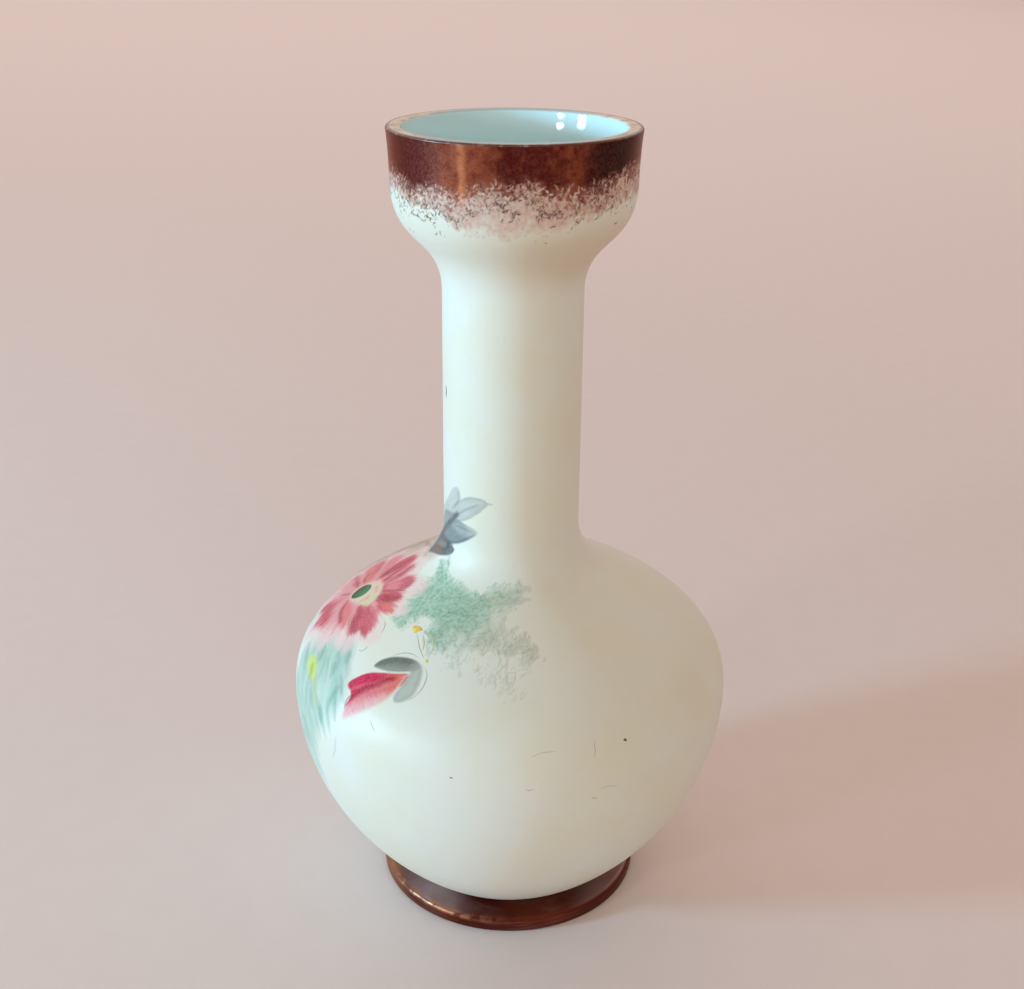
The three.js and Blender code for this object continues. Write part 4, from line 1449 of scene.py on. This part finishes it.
LIGHTS = [
    ("window_far", -76, 9, 1.4, (0.2, 0.14), 14.2, (0.34, 0.78, 1.0), True),
    ("window_near", -50, 10, 1.4, (0.16, 0.12), 3.0, (0.9, 0.9, 1.0), True),
    ("room_front", 0, 22, 1.5, (1.8, 1.0), 5.4, (0.78, 1.0, 0.88), False),
    ("room_right", 84, 12, 1.6, (0.8, 0.8), 1.4, (1.0, 0.92, 0.84), False),
    ("over_the_floor", 0, 90, 1.7, (8, 8), 122, (0.88, 0.95, 0.96), True),
]
OVER_PLACE = (-1.2, 4.4, 1.5)  # where the light over the floor hangs, behind the vase
ROOM_COLOUR, ROOM_STRENGTH = (1.0, 0.64, 0.45, 1.0), 0.4


def camera():
    """The photographer's place, found from the ellipses of the rim and the foot."""
    data = bpy.data.cameras.new("camera")
    data.sensor_fit = "HORIZONTAL"
    data.sensor_width = SENSOR_WIDTH
    data.lens = SENSOR_WIDTH * FOCAL_PIXELS / PICTURE_WIDTH
    data.shift_x = AXIS_SHIFT_PIXELS / PICTURE_WIDTH
    data.clip_start, data.clip_end = NEAREST, FARTHEST
    eye = bpy.data.objects.new("camera", data)
    bpy.context.scene.collection.objects.link(eye)
    tilt = Matrix.Rotation(math.radians(90 - CAMERA_PITCH), 4, "X")
    roll = Matrix.Rotation(math.radians(CAMERA_ROLL), 4, "Z")
    eye.matrix_world = Matrix.Translation(CAMERA_PLACE) @ tilt @ roll
    bpy.context.scene.camera = eye


def floor():
    """The pale paper that the vase stands on."""
    half = FLOOR_SIZE / 2 / MM
    corners = [(-half, -half, 0), (half, -half, 0), (half, half, 0), (-half, half, 0)]
    piece = new_object("floor", corners, [(0, 1, 2, 3)])
    shader = Shader("plain_paper")
    piece.data.materials.append(shader.finish({
        "Base Color": shader.mix(shader.patches(90.0, 4.0, 0.35, 0.65, 0.0, 0.06), PAPER, PAPER * 0.8),
        "Roughness": 0.85,
        "Normal": shader.bump(shader.noise(1200.0, 3.0), 0.0001, 0.3),
    }))


def light():
    """Sheets of light that face the vase, and the glow of the room."""
    for name, turn, rise, distance, size, power, colour, mirrored_too in LIGHTS:
        data = bpy.data.lights.new(name, "AREA")
        data.shape = "RECTANGLE"
        data.size, data.size_y = size
        data.energy = power
        data.color = colour
        lamp = bpy.data.objects.new(name, data)
        lamp.visible_glossy = mirrored_too
        bpy.context.scene.collection.objects.link(lamp)
        a, b = math.radians(turn), math.radians(rise)
        away = Vector((math.cos(b) * math.sin(a), -math.cos(b) * math.cos(a), math.sin(b)))
        lamp.location = LIGHT_AIM + distance * away
        lamp.rotation_euler = (-away).to_track_quat("-Z", "Y").to_euler()
    bpy.data.objects["over_the_floor"].location = OVER_PLACE
    world = bpy.data.worlds.new("room")
    world.use_nodes = True
    room = world.node_tree.nodes["Background"]
    room.inputs["Color"].default_value = ROOM_COLOUR
    room.inputs["Strength"].default_value = ROOM_STRENGTH
    bpy.context.scene.world = world
    bpy.context.scene.view_settings.view_transform = "Standard"


def painted(name, panel, box, paint, hidden=False):
    """A skin painted on a panel; a hidden one is the mirror image of what the camera sees."""

    def place(points):
        return faced(panel, mirrored(points) if hidden else points)

    return name, place, box, paint


def dress(piece, material, replaced=None):
    """Gives a piece its material and its body, and hides the frame's solid that it stands for."""
    piece.data.materials.append(material)
    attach(piece, "root")
    if replaced:
        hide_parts(replaced)


# The painted skins, each in a box of its panel

MOSS_SHEET = [(-29, -24), (25, 22)]
WASH_SHEET = [(-30, -40), (14, 18)]
BULB_SKINS = [
    painted("enamel_moss", MOSS_PANEL, MOSS_SHEET, paint_moss),
    painted("far_moss", MOSS_PANEL, MOSS_SHEET, paint_moss, hidden=True),
    painted("enamel_wash", WASH_PANEL, WASH_SHEET, paint_wash),
    painted("far_wash", WASH_PANEL, WASH_SHEET, paint_wash, hidden=True),
    painted("enamel_bloom", WASH_PANEL, [(-18, -18), (14, 8)], paint_bloom),
    painted("enamel_flower", FLOWER_PANEL, [(-44, -29), (32, 36)], paint_flower),
    painted("enamel_bud", BUD_PANEL, [(-15, -14), (11, 14)], paint_bud),
]
LEAF_SKINS = [painted("enamel_leaves", LEAF_PANEL, [(-24, -20), (12, 13)], paint_leaves)]

camera()
enamels = enamel_material("fired_enamel", PLAIN)
lustre = enamel_material("fired_lustre", LUSTRE_EDGE)
dress(glass_body(), body_material(), "blown_body")
dress(turned("glass_foot", foot_outline()), foot_material(), "applied_foot")

skins = films(BULB_SKINS, turns=(-195, 22), climbs=(46, 152), cell=0.25, radius=58)
skins += films(LEAF_SKINS, turns=(-110, -10), climbs=(130, 163), cell=0.2, radius=22, lift=0.07)
for name, turns, cell in (("lustre_band", (-100, 100), 0.2), ("far_lustre_band", (100, 260), 0.35)):
    band = (name, round_lip, [(-LIP_TURN, -BAND_REACH), (LIP_TURN, 1)], paint_band)
    skins += films([band], turns, (LIP - BAND_REACH, LIP), cell, RIM_RADIUS)
for skin in skins:
    dress(skin, lustre if "lustre" in skin.name else enamels)
for piece, material in (
    (pen_lines(), bead_material("pen_enamel", 0.4)),
    (enamel_dots(), bead_material("thick_enamel", 0.25)),
    (wear_marks(), bead_material("old_dirt", 0.8)),
):
    dress(piece, material)
floor()
light()
